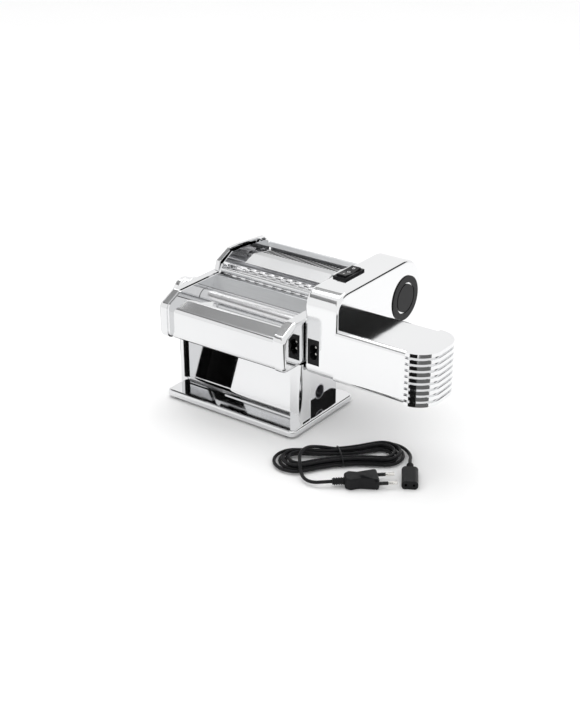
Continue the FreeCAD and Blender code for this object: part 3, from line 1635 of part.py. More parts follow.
def make_connector():
    frame = turned_frame(SLAB_OUT + S.connector_beyond, S.connector_y, 0, S.connector_angle)
    body = new_body("cord_connector")
    length, half, high = S.connector_length, S.connector_half, S.connector_height
    section = new_sketch(body, "YZ_Plane", -length)
    outline(section, rectangle(-half, half, 0, high, high * 0.45))
    pad(body, section, length)
    collar = new_sketch(body, "YZ_Plane", -length - S.connector_sleeve_length)
    circle(collar, 0, high / 2, S.connector_sleeve)
    pad(body, collar, S.connector_sleeve_length)
    bores = new_sketch(body, "YZ_Plane")
    for side in (-1, 1):
        circle(bores, side * S.inlet_hole_spacing / 2, high / 2, S.connector_bore)
    cut(body, bores, S.connector_bore_depth, down=True)
    fitted(body, frame)
    back = V(-(length + S.connector_sleeve_length).number, 0, high.number / 2)
    return frame.multVec(back), frame.Rotation.multVec(V(1, 0, 0))


def make_cord():
    first, last = make_hank()
    frame = hank_frame()
    plug_back, plug_heading = make_plug()
    connector_back, connector_heading = make_connector()
    radius = S.cord_radius.number
    start = frame.multVec(first[0])
    aside = frame.Rotation.multVec(first[1])
    lead("connector_lead", [
        start,
        start - aside * (5 * radius),
        connector_back - connector_heading * (5 * radius),
        connector_back,
    ])
    lead("plug_lead", [
        frame.multVec(last[0]),
        *[frame.multVec(V(*point)) for point in PLUG_ROUTE],
        plug_back - plug_heading * (4 * radius),
        plug_back,
    ])


make_stand()
make_head()
make_rollers()
make_adjuster()
make_cutter()
make_inner_case()
make_outer_case()
make_fins()
make_inlet()
make_switch()
make_train()
make_motor()
make_cord()


# Check every object, then write each sub-part
def write_parts():
    doc.recompute()
    for item in doc.Objects:
        if "Invalid" in item.State or "Error" in item.State:
            raise RuntimeError(f"{item.Label} failed: {item.State}")
    os.makedirs("parts", exist_ok=True)
    for part in parts:
        if part.Shape.isNull() or not part.Shape.isValid():
            raise RuntimeError(f"{part.Label} has no valid shape")
        part.Shape.exportStep(f"parts/{part.Label}.step")
        print(part.Label, len(part.Shape.Solids), round(part.Shape.Volume))


write_parts()
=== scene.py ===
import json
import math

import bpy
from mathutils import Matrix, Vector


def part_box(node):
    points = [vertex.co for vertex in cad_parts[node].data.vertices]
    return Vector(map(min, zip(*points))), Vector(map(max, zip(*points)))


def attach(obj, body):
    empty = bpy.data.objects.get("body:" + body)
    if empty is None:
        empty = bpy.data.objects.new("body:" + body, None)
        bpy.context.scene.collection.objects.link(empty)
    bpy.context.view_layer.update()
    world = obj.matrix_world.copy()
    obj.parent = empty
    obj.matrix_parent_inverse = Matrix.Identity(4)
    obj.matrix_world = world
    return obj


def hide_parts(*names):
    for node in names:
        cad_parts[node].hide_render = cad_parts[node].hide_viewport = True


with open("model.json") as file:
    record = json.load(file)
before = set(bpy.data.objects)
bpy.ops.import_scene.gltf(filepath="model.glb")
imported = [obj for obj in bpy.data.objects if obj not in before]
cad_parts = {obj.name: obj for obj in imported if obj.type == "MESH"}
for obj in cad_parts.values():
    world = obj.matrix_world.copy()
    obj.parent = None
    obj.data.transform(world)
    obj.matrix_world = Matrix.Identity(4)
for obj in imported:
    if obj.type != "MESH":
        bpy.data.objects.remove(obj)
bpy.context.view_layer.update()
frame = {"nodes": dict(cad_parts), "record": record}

# %% [markdown]
# # A motor-driven pasta roller in a white studio
# The CAD frame is already in the scene: every sheet, roller, gear and case half is a node.
# This lesson gives the nodes their finishes, lays the mains lead, adds the small trim and lights the set.
# All lengths are metres, in the frame's own axes: X along the rollers, Y to the back, Z up.

nodes = frame["nodes"]

# %% [markdown]
# ## Shader maths in plain Python
# A finish is a small network of nodes. Wiring each Math node by hand hides the idea, so a wrapped socket
# carries the operators: `0.04 + 0.05 * haze` adds two Math nodes and reads like the formula it is.


# %% A socket that can be added and multiplied
class Wire:
    """An output socket with arithmetic."""

    def __init__(self, tree, socket):
        self.tree = tree
        self.socket = socket

    def maths(self, operation, first, second):
        node = self.tree.nodes.new("ShaderNodeMath")
        node.operation = operation
        for slot, value in zip(node.inputs, (first, second)):
            join(self.tree, value, slot)
        return Wire(self.tree, node.outputs[0])

    def __add__(self, other):
        return self.maths("ADD", self, other)

    def __radd__(self, other):
        return self.maths("ADD", other, self)

    def __sub__(self, other):
        return self.maths("SUBTRACT", self, other)

    def __rsub__(self, other):
        return self.maths("SUBTRACT", other, self)

    def __mul__(self, other):
        return self.maths("MULTIPLY", self, other)

    def __rmul__(self, other):
        return self.maths("MULTIPLY", other, self)


def join(tree, value, slot):
    """Link a wire to an input, or set the input to a plain value."""
    if isinstance(value, Wire):
        tree.links.new(value.socket, slot)
    else:
        slot.default_value = value


print("shader maths ready")


# %% [markdown]
# ## One way to make any finish
# Each finish starts from a Principled shader. `add` makes any other node and fills its sockets with values
# or wires. Patterns read Object coordinates, so they stay on the metal when a piece moves.


# %% The finish builder
class Finish:
    """A material that is built up node by node."""

    def __init__(self, name, colour, roughness, metallic=0.0, **constants):
        self.material = bpy.data.materials.new(name)
        self.material.use_nodes = True
        self.tree = self.material.node_tree
        self.shader = self.tree.nodes["Principled BSDF"]
        self.set("Base Color", (*colour, 1))
        self.set("Roughness", roughness)
        self.set("Metallic", metallic)
        for socket, value in constants.items():
            self.set(socket.replace("_", " ").title().replace("Ior", "IOR"), value)
        self.coordinates = self.add("ShaderNodeTexCoord", out="Object")

    def add(self, kind, out=0, **sockets):
        node = self.tree.nodes.new(kind)
        for name, value in sockets.items():
            join(self.tree, value, node.inputs[name.replace("_", " ")])
        return Wire(self.tree, node.outputs[out])

    def set(self, socket, value):
        join(self.tree, value, self.shader.inputs[socket])

    def stretched(self, x, y, z):
        """Coordinates squeezed along the axes, so that a pattern runs in lines."""
        return self.add("ShaderNodeMapping", Vector=self.coordinates, Scale=(x, y, z))

    def noise(self, scale, detail=3.0, place=None):
        where = place or self.coordinates
        return self.add("ShaderNodeTexNoise", out="Fac", Vector=where, Scale=scale, Detail=detail)

    def two_tone(self, mask, dark, light):
        """A colour between two tones, mixed by a mask."""
        node = self.tree.nodes.new("ShaderNodeMix")
        node.data_type = "RGBA"
        join(self.tree, mask, node.inputs["Factor"])
        node.inputs["A"].default_value = (*dark, 1)
        node.inputs["B"].default_value = (*light, 1)
        self.set("Base Color", Wire(self.tree, node.outputs["Result"]))

    def bump(self, height, distance):
        self.set("Normal", self.add("ShaderNodeBump", Height=height, Distance=distance, Strength=1.0))


print("finish builder ready")

# %% [markdown]
# ## Mirror metals
# The stand, covers and cutter ends are polished sheet: nearly a mirror, with a faint haze left by the
# buffing wheel. A perfect mirror looks synthetic, so slow noise lifts the roughness a little and shifts
# the tone by a hair. The motor's case and the knob are plated plastic, whose skin is a touch softer and
# has a very slight waviness.

# %% Polished steel and plated case
polished = Finish("polished_steel", (0.78, 0.785, 0.79), 0.05, 1.0)
haze = polished.noise(18.0)
polished.set("Roughness", 0.025 + 0.06 * haze)
polished.two_tone(polished.noise(9.0), (0.74, 0.745, 0.755), (0.81, 0.812, 0.816))

plated = Finish("plated_case", (0.86, 0.865, 0.875), 0.08, 1.0)
plated.set("Roughness", 0.05 + 0.09 * plated.noise(14.0))
plated.two_tone(plated.noise(7.0), (0.82, 0.825, 0.832), (0.88, 0.882, 0.886))
plated.bump(plated.noise(30.0, 1.0), 0.00015)
print("mirror metals made")

# %% [markdown]
# ## Turned and brushed metals
# The rollers are ground on a lathe, so their marks run round them: noise that changes fast along X and
# slowly across. The hopper and the cutter's rear plate are brushed lengthways and stay a calm mid grey,
# while the cutter's feed plate is satin, with no direction. Gears and shafts are plain machined steel.

# %% Roller, plate and machined steel
ground = Finish("ground_roller", (0.74, 0.74, 0.75), 0.28, 1.0)
rings = ground.noise(1.0, 4.0, ground.stretched(2600.0, 60.0, 60.0))
ground.set("Roughness", 0.16 + 0.1 * rings)
ground.two_tone(rings, (0.72, 0.72, 0.73), (0.8, 0.8, 0.81))
ground.bump(rings, 0.00001)

brushed = Finish("brushed_plate", (0.5, 0.51, 0.53), 0.36, 1.0)
grain = brushed.noise(1.0, 4.0, brushed.stretched(40.0, 1900.0, 1900.0))
brushed.set("Roughness", 0.27 + 0.2 * grain)
brushed.two_tone(grain, (0.5, 0.51, 0.52), (0.64, 0.65, 0.66))
brushed.bump(grain, 0.00003)

satin = Finish("satin_plate", (0.53, 0.535, 0.54), 0.4, 1.0)
sheen = satin.noise(24.0)
satin.set("Roughness", 0.36 + 0.12 * sheen)
satin.two_tone(sheen, (0.5, 0.505, 0.51), (0.56, 0.562, 0.565))

machined = Finish("machined_steel", (0.55, 0.55, 0.57), 0.32, 1.0)
tool_marks = machined.noise(260.0)
machined.set("Roughness", 0.22 + 0.22 * tool_marks)
machined.two_tone(tool_marks, (0.47, 0.47, 0.49), (0.62, 0.62, 0.64))
print("turned and brushed metals made")

# %% [markdown]
# ## The fine cutters' grooves
# A fine cutter is a roller with dozens of grooves 2 mm apart. As real cuts they would be tens of
# thousands of faces that hardly show, so a wave along X gives the ribs: it paints shade into the valleys
# and drives a bump.

# %% Grooved cutter steel
GROOVE_PITCH = 0.002
grooved = Finish("grooved_cutter", (0.7, 0.7, 0.71), 0.26, 1.0)
along = grooved.add("ShaderNodeSeparateXYZ", Vector=grooved.coordinates, out="X")
wave = along.maths("SINE", along * (2 * math.pi / GROOVE_PITCH), 0.0)
ribs = 0.5 + 0.5 * wave
# The dark tone in the valleys is painted shade on one steel, because the grooves themselves are not
# modelled.
grooved.two_tone(ribs, (0.2, 0.2, 0.21), (0.82, 0.82, 0.83))
grooved.set("Roughness", 0.4 - 0.18 * ribs)
grooved.bump(ribs, 0.0006)
print("grooves every", GROOVE_PITCH)

# %% [markdown]
# ## Plastics, rubber and the rest
# The switch, the inlet and the trim disc are satin black mouldings with a fine spark-eroded texture.
# The lead and its mouldings are softer black vinyl, and the feet are dull rubber. Bushes are oily bronze.

# %% Black mouldings, vinyl, rubber, nylon, bronze and pins
moulded = Finish("black_moulding", (0.01, 0.01, 0.011), 0.3, specular_ior_level=0.14)
texture = moulded.noise(900.0, 2.0)
moulded.set("Roughness", 0.26 + 0.2 * texture)
moulded.two_tone(texture, (0.005, 0.005, 0.006), (0.014, 0.014, 0.015))
moulded.bump(texture, 0.00004)

vinyl = Finish("black_vinyl", (0.008, 0.008, 0.009), 0.3, specular_ior_level=0.16)
skin = vinyl.noise(420.0, 2.0)
vinyl.set("Roughness", 0.28 + 0.2 * skin)
vinyl.two_tone(skin, (0.004, 0.004, 0.005), (0.012, 0.012, 0.013))
vinyl.bump(skin, 0.00005)

rubber = Finish("dull_rubber", (0.03, 0.03, 0.03), 0.75)
dust = rubber.noise(300.0)
rubber.two_tone(dust, (0.02, 0.02, 0.02), (0.055, 0.054, 0.052))
rubber.set("Roughness", 0.65 + 0.2 * dust)

nylon = Finish("white_nylon", (0.8, 0.79, 0.75), 0.45)
cloud = nylon.noise(80.0)
nylon.two_tone(cloud, (0.74, 0.73, 0.69), (0.85, 0.84, 0.8))
nylon.set("Roughness", 0.4 + 0.15 * cloud)

bronze = Finish("oiled_bronze", (0.55, 0.36, 0.17), 0.35, 1.0)
pores = bronze.noise(1400.0, 1.0)
bronze.two_tone(pores, (0.42, 0.27, 0.12), (0.62, 0.42, 0.21))
bronze.set("Roughness", 0.28 + 0.2 * pores)

pins = Finish("plated_pin", (0.8, 0.79, 0.76), 0.16, 1.0)
wear = pins.noise(500.0)
pins.two_tone(wear, (0.72, 0.71, 0.67), (0.86, 0.85, 0.82))
pins.set("Roughness", 0.1 + 0.16 * wear)
print("plastics and small metals made")

# %% [markdown]
# ## Dressing the nodes
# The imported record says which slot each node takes, so the finishes are handed out by slot.
# Three differ from their slot: the fine cutters have grooves, the cutter's feed plate is satin, and the
# plug's pins get sleeves further down.

# %% Give every node its finish
FINISHES = {
    "polished_steel": polished,
    "roller_steel": ground,
    "drive_steel": machined,
    "grey_sheet": brushed,
    "bronze": bronze,
    "knob_plate": plated,
    "housing": plated,
    "black_plastic": moulded,
    "nylon": nylon,
    "rubber": rubber,
    "cord_black": vinyl,
    "pin_metal": pins,
}


def dress(piece, finish):
    """Replace whatever materials a piece has by one finish."""
    piece.data.materials.clear()
    piece.data.materials.append(finish.material)


for entry in frame["record"]["subparts"]:
    dress(nodes[entry["node"]], FINISHES[entry["material_slot"]])
for name in ("fine_cutter_front", "fine_cutter_rear"):
    dress(nodes[name], grooved)
dress(nodes["cutter_feed_plate"], satin)

# %% [markdown]
# ## The mains lead as one line
# The lead is one cord: out of the connector, ten runs of a hank drawn in at the waist, then over the hank
# to the plug. A NURBS line needs only its control points. On the folds these stand a little outside the
# curve, because a quadratic spline cuts its corners by the cosine of half a step.

# %% The route's driving sizes
CORD_RADIUS = 0.0019
HANK_PLACE = Matrix.Translation((0.09325, -0.0995, 0)) @ Matrix.Rotation(math.radians(44.2), 4, "Z")
PLUG_PLACE = Matrix.Translation((0.15425, -0.118, 0)) @ Matrix.Rotation(math.radians(41.7), 4, "Z")
CONNECTOR_PLACE = Matrix.Translation((0.18725, -0.107, 0)) @ Matrix.Rotation(math.radians(-58.5), 4, "Z")
PLUG_BACK = Vector((-0.049, 0, 0.0065))
CONNECTOR_BACK = Vector((-0.044, 0, 0.005))
HALF, INNER, STEP, WAIST = 0.041, 0.0105, 0.0046, 0.0065
LOW, HIGH = 0.0037, 0.0081
REVERSE, LAST = 6, 10
TILT = 2 * math.atan(WAIST / HALF)
FOLD_STEPS = 8
HANK_TAIL = 0.0046
CONNECTOR_STRAIGHT, PLUG_STRAIGHT = 5 * CORD_RADIUS, 4 * CORD_RADIUS
PLUG_ROUTE = [
    (-0.020, 0.015, 0.011),
    (-0.036, 0.009, 0.0155),
    (-0.046, -0.006, 0.0165),
    (-0.048, -0.020, 0.013),
    (-0.0485, -0.032, 0.006),
    (-0.0455, -0.043, 0.0045),
    (-0.0375, -0.051, 0.005),
]
print("hank tilt", round(math.degrees(TILT), 1))

# %% [markdown]
# The hank is worked out run by run. A run bows in to the waist, and the fold after it swings round to the
# next lane. On the run numbered REVERSE the lanes turn from inward to outward and climb to a second layer.


# %% Runs and folds of the hank
def lane(run):
    """How far a run lies from the hank's middle line."""
    return INNER + STEP / 2 * abs(run - REVERSE)


def run_points(run, shares=(1, 0.5, 0, -0.5, -1)):
    """One run, bowed in to the waist, which climbs to the upper layer where the hank turns back."""
    side = 1 if run % 2 == 0 else -1
    points = []
    for share in shares:
        climb = (1 - share) / 2 if run == REVERSE else float(run > REVERSE)
        y = side * (lane(run) - WAIST * (1 - share ** 2))
        points.append(Vector((side * share * HALF, y, LOW + (HIGH - LOW) * climb)))
    return points


def fold_points(run, first=1):
    """The fold after a run, from one lane out to the next, at the end where the run stops."""
    end = -1 if run % 2 == 0 else 1
    sweep = math.pi + 2 * TILT
    reach = 1 / math.cos(TILT) / math.cos(sweep / FOLD_STEPS / 2)
    height = HIGH if run >= REVERSE else LOW
    points = []
    for step in range(first, FOLD_STEPS):
        share = step / FOLD_STEPS
        radius = reach * (lane(run) + (lane(run + 1) - lane(run)) * share)
        angle = sweep * (share - 0.5)
        x = HALF + radius * math.sin(TILT) + radius * math.cos(angle)
        points.append(Vector((end * x, end * radius * math.sin(angle), height)))
    return points


hank = fold_points(-1, FOLD_STEPS // 2)
for run in range(LAST):
    hank += run_points(run) + fold_points(run)
hank += run_points(LAST, (1, 0.5, 0))
hank.append(hank[-1] - Vector((HANK_TAIL, 0, 0)))
print("hank control points", len(hank))

# %% [markdown]
# ## From points to a lead
# The whole route becomes one NURBS spline with a round bevel. The two ends leave the mouldings straight,
# for a few diameters, as a lead with a strain relief does.

# %% One curve from connector to plug
connector_back = CONNECTOR_PLACE @ CONNECTOR_BACK
connector_run = CONNECTOR_PLACE @ (CONNECTOR_BACK - Vector((CONNECTOR_STRAIGHT, 0, 0)))
plug_back = PLUG_PLACE @ PLUG_BACK
plug_run = PLUG_PLACE @ (PLUG_BACK - Vector((PLUG_STRAIGHT, 0, 0)))
fold_entry = HANK_PLACE @ (hank[0] - Vector((0, CONNECTOR_STRAIGHT, 0)))
route = [connector_back, connector_run, fold_entry]
route += [HANK_PLACE @ point for point in hank]
route += [HANK_PLACE @ Vector(point) for point in PLUG_ROUTE]
route += [plug_run, plug_back]

line = bpy.data.curves.new("mains_lead", "CURVE")
line.dimensions = "3D"
spline = line.splines.new("NURBS")
spline.points.add(len(route) - 1)
for control, point in zip(spline.points, route):
    control.co = (*point, 1)
    control.radius = CORD_RADIUS
spline.order_u = 3
spline.use_endpoint_u = True
spline.resolution_u = 6
mains_lead = bpy.data.objects.new("mains_lead", line)
bpy.context.scene.collection.objects.link(mains_lead)
dress(mains_lead, vinyl)
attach(mains_lead, "frame")
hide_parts("cord_hank", "plug_lead", "connector_lead")
print("lead control points", len(route))

# %% [markdown]
# ## The lead's round section
# The bare spline is turned into a chain of edges, which is removed again. Then it gets its round section:
# every control point carries the cord's radius, so a bevel of one gives the cord its true thickness.

# %% Make and remove a chain of edges, and give the lead its thickness
chain = bpy.data.meshes.new_from_object(mains_lead.evaluated_get(bpy.context.evaluated_depsgraph_get()))
bpy.data.meshes.remove(chain)
line.bevel_depth = 1.0
line.bevel_resolution = 4
line.use_fill_caps = True

# %% [markdown]
# ## Strain-relief rings
# The sleeves behind the plug and the connector have moulded rings, so that they bend without kinking.
# One ring is a short cylinder with bevelled rims, about half a pitch wide. A loop models them one by one
# along the sleeve, and they are joined.

# %% Model the rings of a sleeve
RING_WIDTH, RING_ROUND, RING_START = 0.55, 0.14, 0.8


def clear_selection():
    """Leave edit mode and deselect all, because operators act on what is selected."""
    if bpy.context.object and bpy.context.object.mode != "OBJECT":
        bpy.ops.object.mode_set(mode="OBJECT")
    bpy.ops.object.select_all(action="DESELECT")


def settle(piece, place):
    """Put a piece's place into its mesh, with the object at the origin."""
    piece.data.transform(place @ piece.matrix_basis)
    piece.matrix_basis = Matrix()


def join_pieces(pieces, name):
    """Make one named piece of several."""
    clear_selection()
    for piece in pieces:
        piece.select_set(True)
    bpy.context.view_layer.objects.active = pieces[0]
    bpy.ops.object.join()
    whole = bpy.context.object
    whole.name = name
    return whole


def sleeve_rings(name, place, back, radius, count, pitch):
    """A row of rings along a sleeve, as one piece."""
    rings = []
    for index in range(count):
        clear_selection()
        bpy.ops.mesh.primitive_cylinder_add(vertices=32, radius=radius, depth=pitch * RING_WIDTH)
        ring = bpy.context.object
        ring_place = back + Vector((pitch * (index + RING_START), 0, 0))
        ring.matrix_basis = Matrix.Translation(ring_place) @ Matrix.Rotation(math.pi / 2, 4, "Y")
        bpy.ops.object.mode_set(mode="EDIT")
        bpy.ops.mesh.select_all(action="SELECT")
        bpy.ops.mesh.bevel(offset=pitch * RING_ROUND, segments=2)
        bpy.ops.object.mode_set(mode="OBJECT")
        settle(ring, place)
        rings.append(ring)
    whole = join_pieces(rings, name)
    bpy.ops.object.shade_smooth_by_angle(angle=math.radians(40))
    dress(whole, vinyl)
    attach(whole, "frame")
    print(name, len(whole.data.polygons), "faces")
    return whole


plug_rings = sleeve_rings("plug_sleeve_rings", PLUG_PLACE, PLUG_BACK, 0.0041, 5, 0.0026)
connector_rings = sleeve_rings("connector_sleeve_rings", CONNECTOR_PLACE, CONNECTOR_BACK, 0.0039, 5, 0.0024)

# %% [markdown]
# ## The tie round the hank
# A thin covered wire draws the hank in at its waist. It is a ring of wire pressed to an oval: a torus,
# resized in edit mode, then turned to stand across the hank.

# %% Model the tie
TIE_RADIUS, WIRE_RADIUS = 0.0205, 0.0008
TIE_FLATNESS, TIE_LIFT = 0.25, 0.0002
clear_selection()
bpy.ops.mesh.primitive_torus_add(
    major_radius=TIE_RADIUS, minor_radius=WIRE_RADIUS, major_segments=64, minor_segments=10
)
tie = bpy.context.object
tie.name = "hank_wire_tie"
bpy.ops.object.mode_set(mode="EDIT")
bpy.ops.mesh.select_all(action="SELECT")
bpy.ops.transform.resize(value=(1, TIE_FLATNESS, 1))
bpy.ops.object.mode_set(mode="OBJECT")
bpy.ops.object.shade_smooth()
upright = Matrix.Rotation(math.pi / 2, 4, "Z") @ Matrix.Rotation(math.pi / 2, 4, "X")
settle(tie, HANK_PLACE @ Matrix.Translation((0, 0, (LOW + HIGH) / 2 + TIE_LIFT)) @ upright)
dress(tie, vinyl)
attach(tie, "frame")
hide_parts("hank_tie")
print("tie made of", len(tie.data.polygons), "faces")

# %% [markdown]
# ## Half-sleeved pins
# A plug's pins are covered with black plastic at the root and bare at the tip. How far a point lies along
# the plug's axis is a sum of its coordinates times the axis, and a step in it switches the finish.

# %% Give the plug's pins their sleeves
SLEEVE_LENGTH = 0.0095
pin_place = nodes["plug_pins"].matrix_world.inverted() @ PLUG_PLACE
pin_axis = pin_place.to_3x3() @ Vector((1, 0, 0))
sleeved = Finish("sleeved_pin", (0.8, 0.79, 0.76), 0.16, 1.0)
parts = [sleeved.add("ShaderNodeSeparateXYZ", Vector=sleeved.coordinates, out=axis) for axis in "XYZ"]
reach = parts[0] * pin_axis.x + parts[1] * pin_axis.y + parts[2] * pin_axis.z
bare = reach.maths("GREATER_THAN", reach, pin_place.translation.dot(pin_axis) + SLEEVE_LENGTH)
sleeved.two_tone(bare, (0.006, 0.006, 0.007), (0.8, 0.79, 0.76))
sleeved.set("Metallic", bare)
sleeved.set("Roughness", 0.4 - 0.24 * bare)
dress(nodes["plug_pins"], sleeved)
print("pins sleeved for", SLEEVE_LENGTH)

# %% [markdown]
# The lead leaves the connector, and the plug is on its far end.

print("lead in place")

# %% [markdown]
# ## The notched edge of the cutter's feed plate
# The plate's rear edge is read as notched, like a comb. A notch through thin sheet shows only as a dark
# dash of shade, so each one is a thin inlay of painted shade on the plate. Its black has no gloss, because
# a gap doesn't shine.
# An Array modifier repeats it along X, and applying the modifier makes one mesh.

# %% Model the notches
NOTCH_PITCH = 0.0046
NOTCH_WIDTH, NOTCH_LENGTH, NOTCH_THICKNESS = 0.0024, 0.018, 0.0004
NOTCH_ROUND, NOTCH_OVERHANG = 0.0001, 0.0002
EDGE_MARGIN, EDGE_RISE = 0.004, 0.00168
PLATE_DROP, PLATE_RUN = 0.006, 0.033
PLATE_FALL = math.atan2(PLATE_DROP, PLATE_RUN)
plate_low, plate_high = (Vector(corner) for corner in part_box("cutter_feed_plate"))
first_notch = plate_low.x + EDGE_MARGIN
notch_count = int((plate_high.x - EDGE_MARGIN - first_notch) / NOTCH_PITCH) + 1
edge_top = plate_low.z + EDGE_RISE
clear_selection()
bpy.ops.mesh.primitive_cube_add(size=1)
notches = bpy.context.object
notches.name = "feed_plate_notch_shade"
bpy.ops.object.mode_set(mode="EDIT")
bpy.ops.transform.resize(value=(NOTCH_WIDTH, NOTCH_LENGTH, NOTCH_THICKNESS))
bpy.ops.mesh.bevel(offset=NOTCH_ROUND, segments=1)
bpy.ops.object.mode_set(mode="OBJECT")
half_way = NOTCH_LENGTH / 2 - NOTCH_OVERHANG
notch_place = Vector((first_notch, plate_high.y - half_way, edge_top + half_way * math.tan(PLATE_FALL)))
settle(notches, Matrix.Translation(notch_place) @ Matrix.Rotation(-PLATE_FALL, 4, "X"))
row = notches.modifiers.new("row", "ARRAY")
row.count = notch_count
row.use_relative_offset = False
row.use_constant_offset = True
row.constant_offset_displace = (NOTCH_PITCH, 0, 0)
bpy.ops.object.modifier_apply(modifier="row")
# The notches' black is painted shade, the dark seen through a gap, not a black part.
painted_gap_shade = Finish("painted_gap_shade", (0.004, 0.004, 0.004), 0.9, specular_ior_level=0.0)
painted_gap_shade.two_tone(painted_gap_shade.noise(60.0), (0.003, 0.003, 0.003), (0.006, 0.006, 0.006))
dress(notches, painted_gap_shade)
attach(notches, "cutter_head")
print("notches", notch_count)

# %% [markdown]
# ## Marks on the rocker
# A three-way switch carries plain position marks: a bar, a ring and two bars. Flat text would need a
# font's outline, so each mark is a thin bevelled bar or ring set on the rocker's face.

# %% Model the switch marks
FACE_DIP = 0.002
BAR_SIZE, BAR_ROUND = (0.0007, 0.0036, 0.0004), 0.0001
BAR_REACH, PAIR_HALF = 0.010, 0.0009
ZERO_RADIUS, ZERO_STROKE, ZERO_DEPTH = 0.0016, 0.0003, 0.0019
rocker_low, rocker_high = (Vector(corner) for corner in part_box("switch_rocker"))
rocker_mid = (rocker_low + rocker_high) / 2
half_face = (rocker_high.y - rocker_low.y) / 2
face_slope = math.atan2(FACE_DIP, half_face)
marks = []


def bar_mark(across, along):
    """A short raised bar on the rocker's sloping face."""
    clear_selection()
    bpy.ops.mesh.primitive_cube_add(size=1)
    bar = bpy.context.object
    bpy.ops.object.mode_set(mode="EDIT")
    bpy.ops.transform.resize(value=BAR_SIZE)
    bpy.ops.mesh.bevel(offset=BAR_ROUND, segments=1)
    bpy.ops.object.mode_set(mode="OBJECT")
    rise = rocker_high.z - FACE_DIP + FACE_DIP * abs(along) / half_face
    turn = Matrix.Rotation(math.copysign(face_slope, along), 4, "X")
    settle(bar, Matrix.Translation((rocker_mid.x + across, rocker_mid.y + along, rise)) @ turn)
    marks.append(bar)


bar_mark(0.0, -BAR_REACH)
bar_mark(-PAIR_HALF, BAR_REACH)
bar_mark(PAIR_HALF, BAR_REACH)
clear_selection()
bpy.ops.mesh.primitive_torus_add(
    major_radius=ZERO_RADIUS, minor_radius=ZERO_STROKE, major_segments=32, minor_segments=8
)
zero = bpy.context.object
settle(zero, Matrix.Translation((rocker_mid.x, rocker_mid.y, rocker_high.z - ZERO_DEPTH)))
marks.append(zero)
switch_marks = join_pieces(marks, "switch_marks")
white_paint = Finish("white_paint", (0.8, 0.8, 0.8), 0.5)
white_paint.two_tone(white_paint.noise(900.0), (0.7, 0.7, 0.7), (0.86, 0.86, 0.86))
dress(switch_marks, white_paint)
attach(switch_marks, "switch_rocker")
print("switch marks", len(switch_marks.data.polygons), "faces")

# %% [markdown]
# ## The floor and the white room
# The object stands on white paper. The floor is a plain pale sheet that keeps the soft contact shadow,
# and the world is white for the camera and for mirror reflections, at a strength of one.

# %% Floor and world
clear_selection()
bpy.ops.mesh.primitive_plane_add(size=8)
floor = bpy.context.object
floor.name = "floor"
paper = Finish("white_paper", (0.96, 0.96, 0.96), 0.85)
paper.two_tone(paper.noise(3.0), (0.95, 0.95, 0.95), (0.97, 0.97, 0.97))
dress(floor, paper)

world = bpy.data.worlds.new("white_room")
bpy.context.scene.world = world
world.use_nodes = True
air = world.node_tree
seen = air.nodes["Background"]
seen.inputs["Color"].default_value = (1, 1, 1, 1)
seen.inputs["Strength"].default_value = 1.0
fill = air.nodes.new("ShaderNodeBackground")
fill.inputs["Color"].default_value = (1, 1, 1, 1)
fill.inputs["Strength"].default_value = 1.0
path = air.nodes.new("ShaderNodeLightPath")
camera_ray = Wire(air, path.outputs["Is Camera Ray"])
glossy_ray = Wire(air, path.outputs["Is Glossy Ray"])
glass_ray = Wire(air, path.outputs["Is Transmission Ray"])
shown = camera_ray.maths("MAXIMUM", camera_ray.maths("MAXIMUM", camera_ray, glossy_ray), glass_ray)
mix = air.nodes.new("ShaderNodeMixShader")
air.links.new(shown.socket, mix.inputs[0])
air.links.new(fill.outputs[0], mix.inputs[1])
air.links.new(seen.outputs[0], mix.inputs[2])
air.links.new(mix.outputs[0], air.nodes["World Output"].inputs["Surface"])
print("floor and world set")

# %% [markdown]
# ## Black and grey cards
# Chrome in an all-white room has no outline. Studios hang dark cards round the object, out of the picture,
# and their reflections draw bands along the edges and fillets: black ones cut hard, grey ones only shade.


# %% Hang the cards
CENTRE = Vector((-0.03, -0.02, 0.08))
SHADE_FOOT, SHADE_RATE = 0.82, 3.5
black = Finish("black_card", (0.01, 0.01, 0.01), 0.9, specular_ior_level=0.0)
black.two_tone(black.noise(4.0), (0.008, 0.008, 0.008), (0.014, 0.014, 0.014))
grey = Finish("grey_card", (0.26, 0.26, 0.26), 0.9, specular_ior_level=0.0)
level = grey.add("ShaderNodeSeparateXYZ", Vector=grey.coordinates, out="Z")
grey.two_tone(SHADE_RATE * (level - SHADE_FOOT), (0.12, 0.12, 0.12), (0.42, 0.42, 0.42))


def card(name, finish, place, width, height, facing=None):
    """A sheet that faces the object, or along a direction."""
    clear_selection()
    bpy.ops.mesh.primitive_plane_add(size=1)
    sheet = bpy.context.object
    sheet.name = name
    away = Vector(facing) if facing else CENTRE - Vector(place)
    sheet.data.transform(Matrix.Diagonal((width, height, 1, 1)))
    settle(sheet, Matrix.Translation(place) @ away.to_track_quat("Z", "Y").to_matrix().to_4x4())
    sheet.visible_camera = False
    sheet.visible_diffuse = False
    sheet.visible_shadow = False
    dress(sheet, finish)


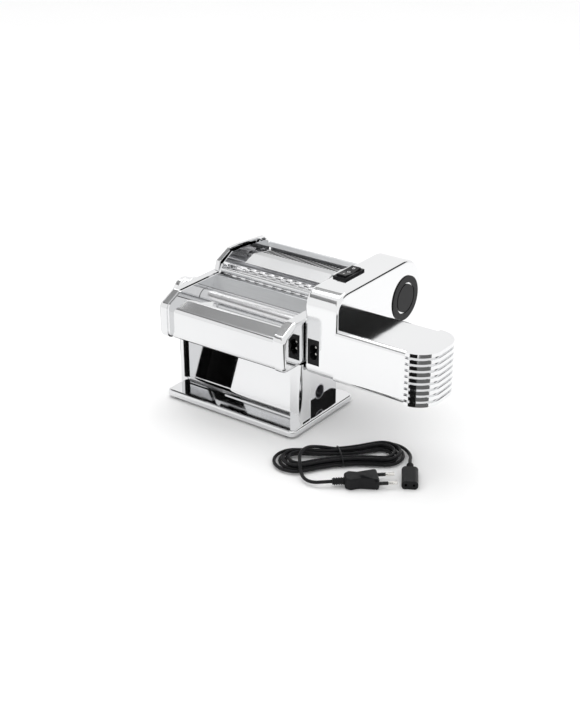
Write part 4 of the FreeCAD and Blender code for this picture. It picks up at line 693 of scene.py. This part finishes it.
UP, TO_BACK = (0, 0, 1), (0, 1, 0)
card("card_before_panel", black, (-0.14, -0.09, 0.0475), 0.05, 0.071, TO_BACK)
card("card_over_front", grey, (-0.65, -0.53, 0.95), 1.6, 0.3)
card("card_over_left", grey, (-0.66, 0.26, 1.06), 1.0, 0.3)
card("card_back_right", black, (0.75, 0.8, 0.62), 0.9, 0.5)
card("card_floor_right", grey, (0.36, -0.2, 0.0004), 0.3, 0.24, UP)
card("card_before_fins", black, (0.165, -0.13, 0.07), 0.05, 0.12, TO_BACK)
card("card_floor_left", grey, (-0.45, 0.2, 0.0004), 0.4, 0.5, UP)
print("cards hung")

# %% [markdown]
# ## Soft light
# One broad lamp from above and behind left gives the shadow its direction. The world does the rest.

# %% Lamp
lamp_data = bpy.data.lights.new("soft_box", "AREA")
lamp_data.energy = 9.0
lamp_data.shape = "RECTANGLE"
lamp_data.size = 1.4
lamp_data.size_y = 1.0
lamp = bpy.data.objects.new("soft_box", lamp_data)
bpy.context.scene.collection.objects.link(lamp)
lamp_place = Vector((-0.6, 0.5, 1.6))
lamp_turn = (CENTRE - lamp_place).to_track_quat("-Z", "Y").to_matrix().to_4x4()
lamp.matrix_world = Matrix.Translation(lamp_place) @ lamp_turn
print("lamp at", tuple(lamp_place))

# %% [markdown]
# ## The photograph's camera
# The view was found from the base's edges: 36 degrees to the right of the front and 25.5 degrees up,
# through a lens of 66 mm on a 36 mm frame. The camera looks at a point in the middle of the machine.

# %% Camera
AZIMUTH, ELEVATION = math.radians(36.222), math.radians(25.51)
TARGET = Vector((-0.031085, -0.023077, 0.055))
DISTANCE = 1.564
outward = Vector((
    math.sin(AZIMUTH) * math.cos(ELEVATION),
    -math.cos(AZIMUTH) * math.cos(ELEVATION),
    math.sin(ELEVATION),
))
camera_data = bpy.data.cameras.new("photo_camera")
camera_data.lens = 66.24
camera_data.sensor_width = 36
camera = bpy.data.objects.new("photo_camera", camera_data)
bpy.context.scene.collection.objects.link(camera)
camera_turn = outward.to_track_quat("Z", "Y").to_matrix().to_4x4()
camera.matrix_world = Matrix.Translation(TARGET + DISTANCE * outward) @ camera_turn
bpy.context.scene.camera = camera
bpy.context.scene.view_settings.view_transform = "Standard"
print("camera at", tuple(round(value, 3) for value in camera.matrix_world.translation))
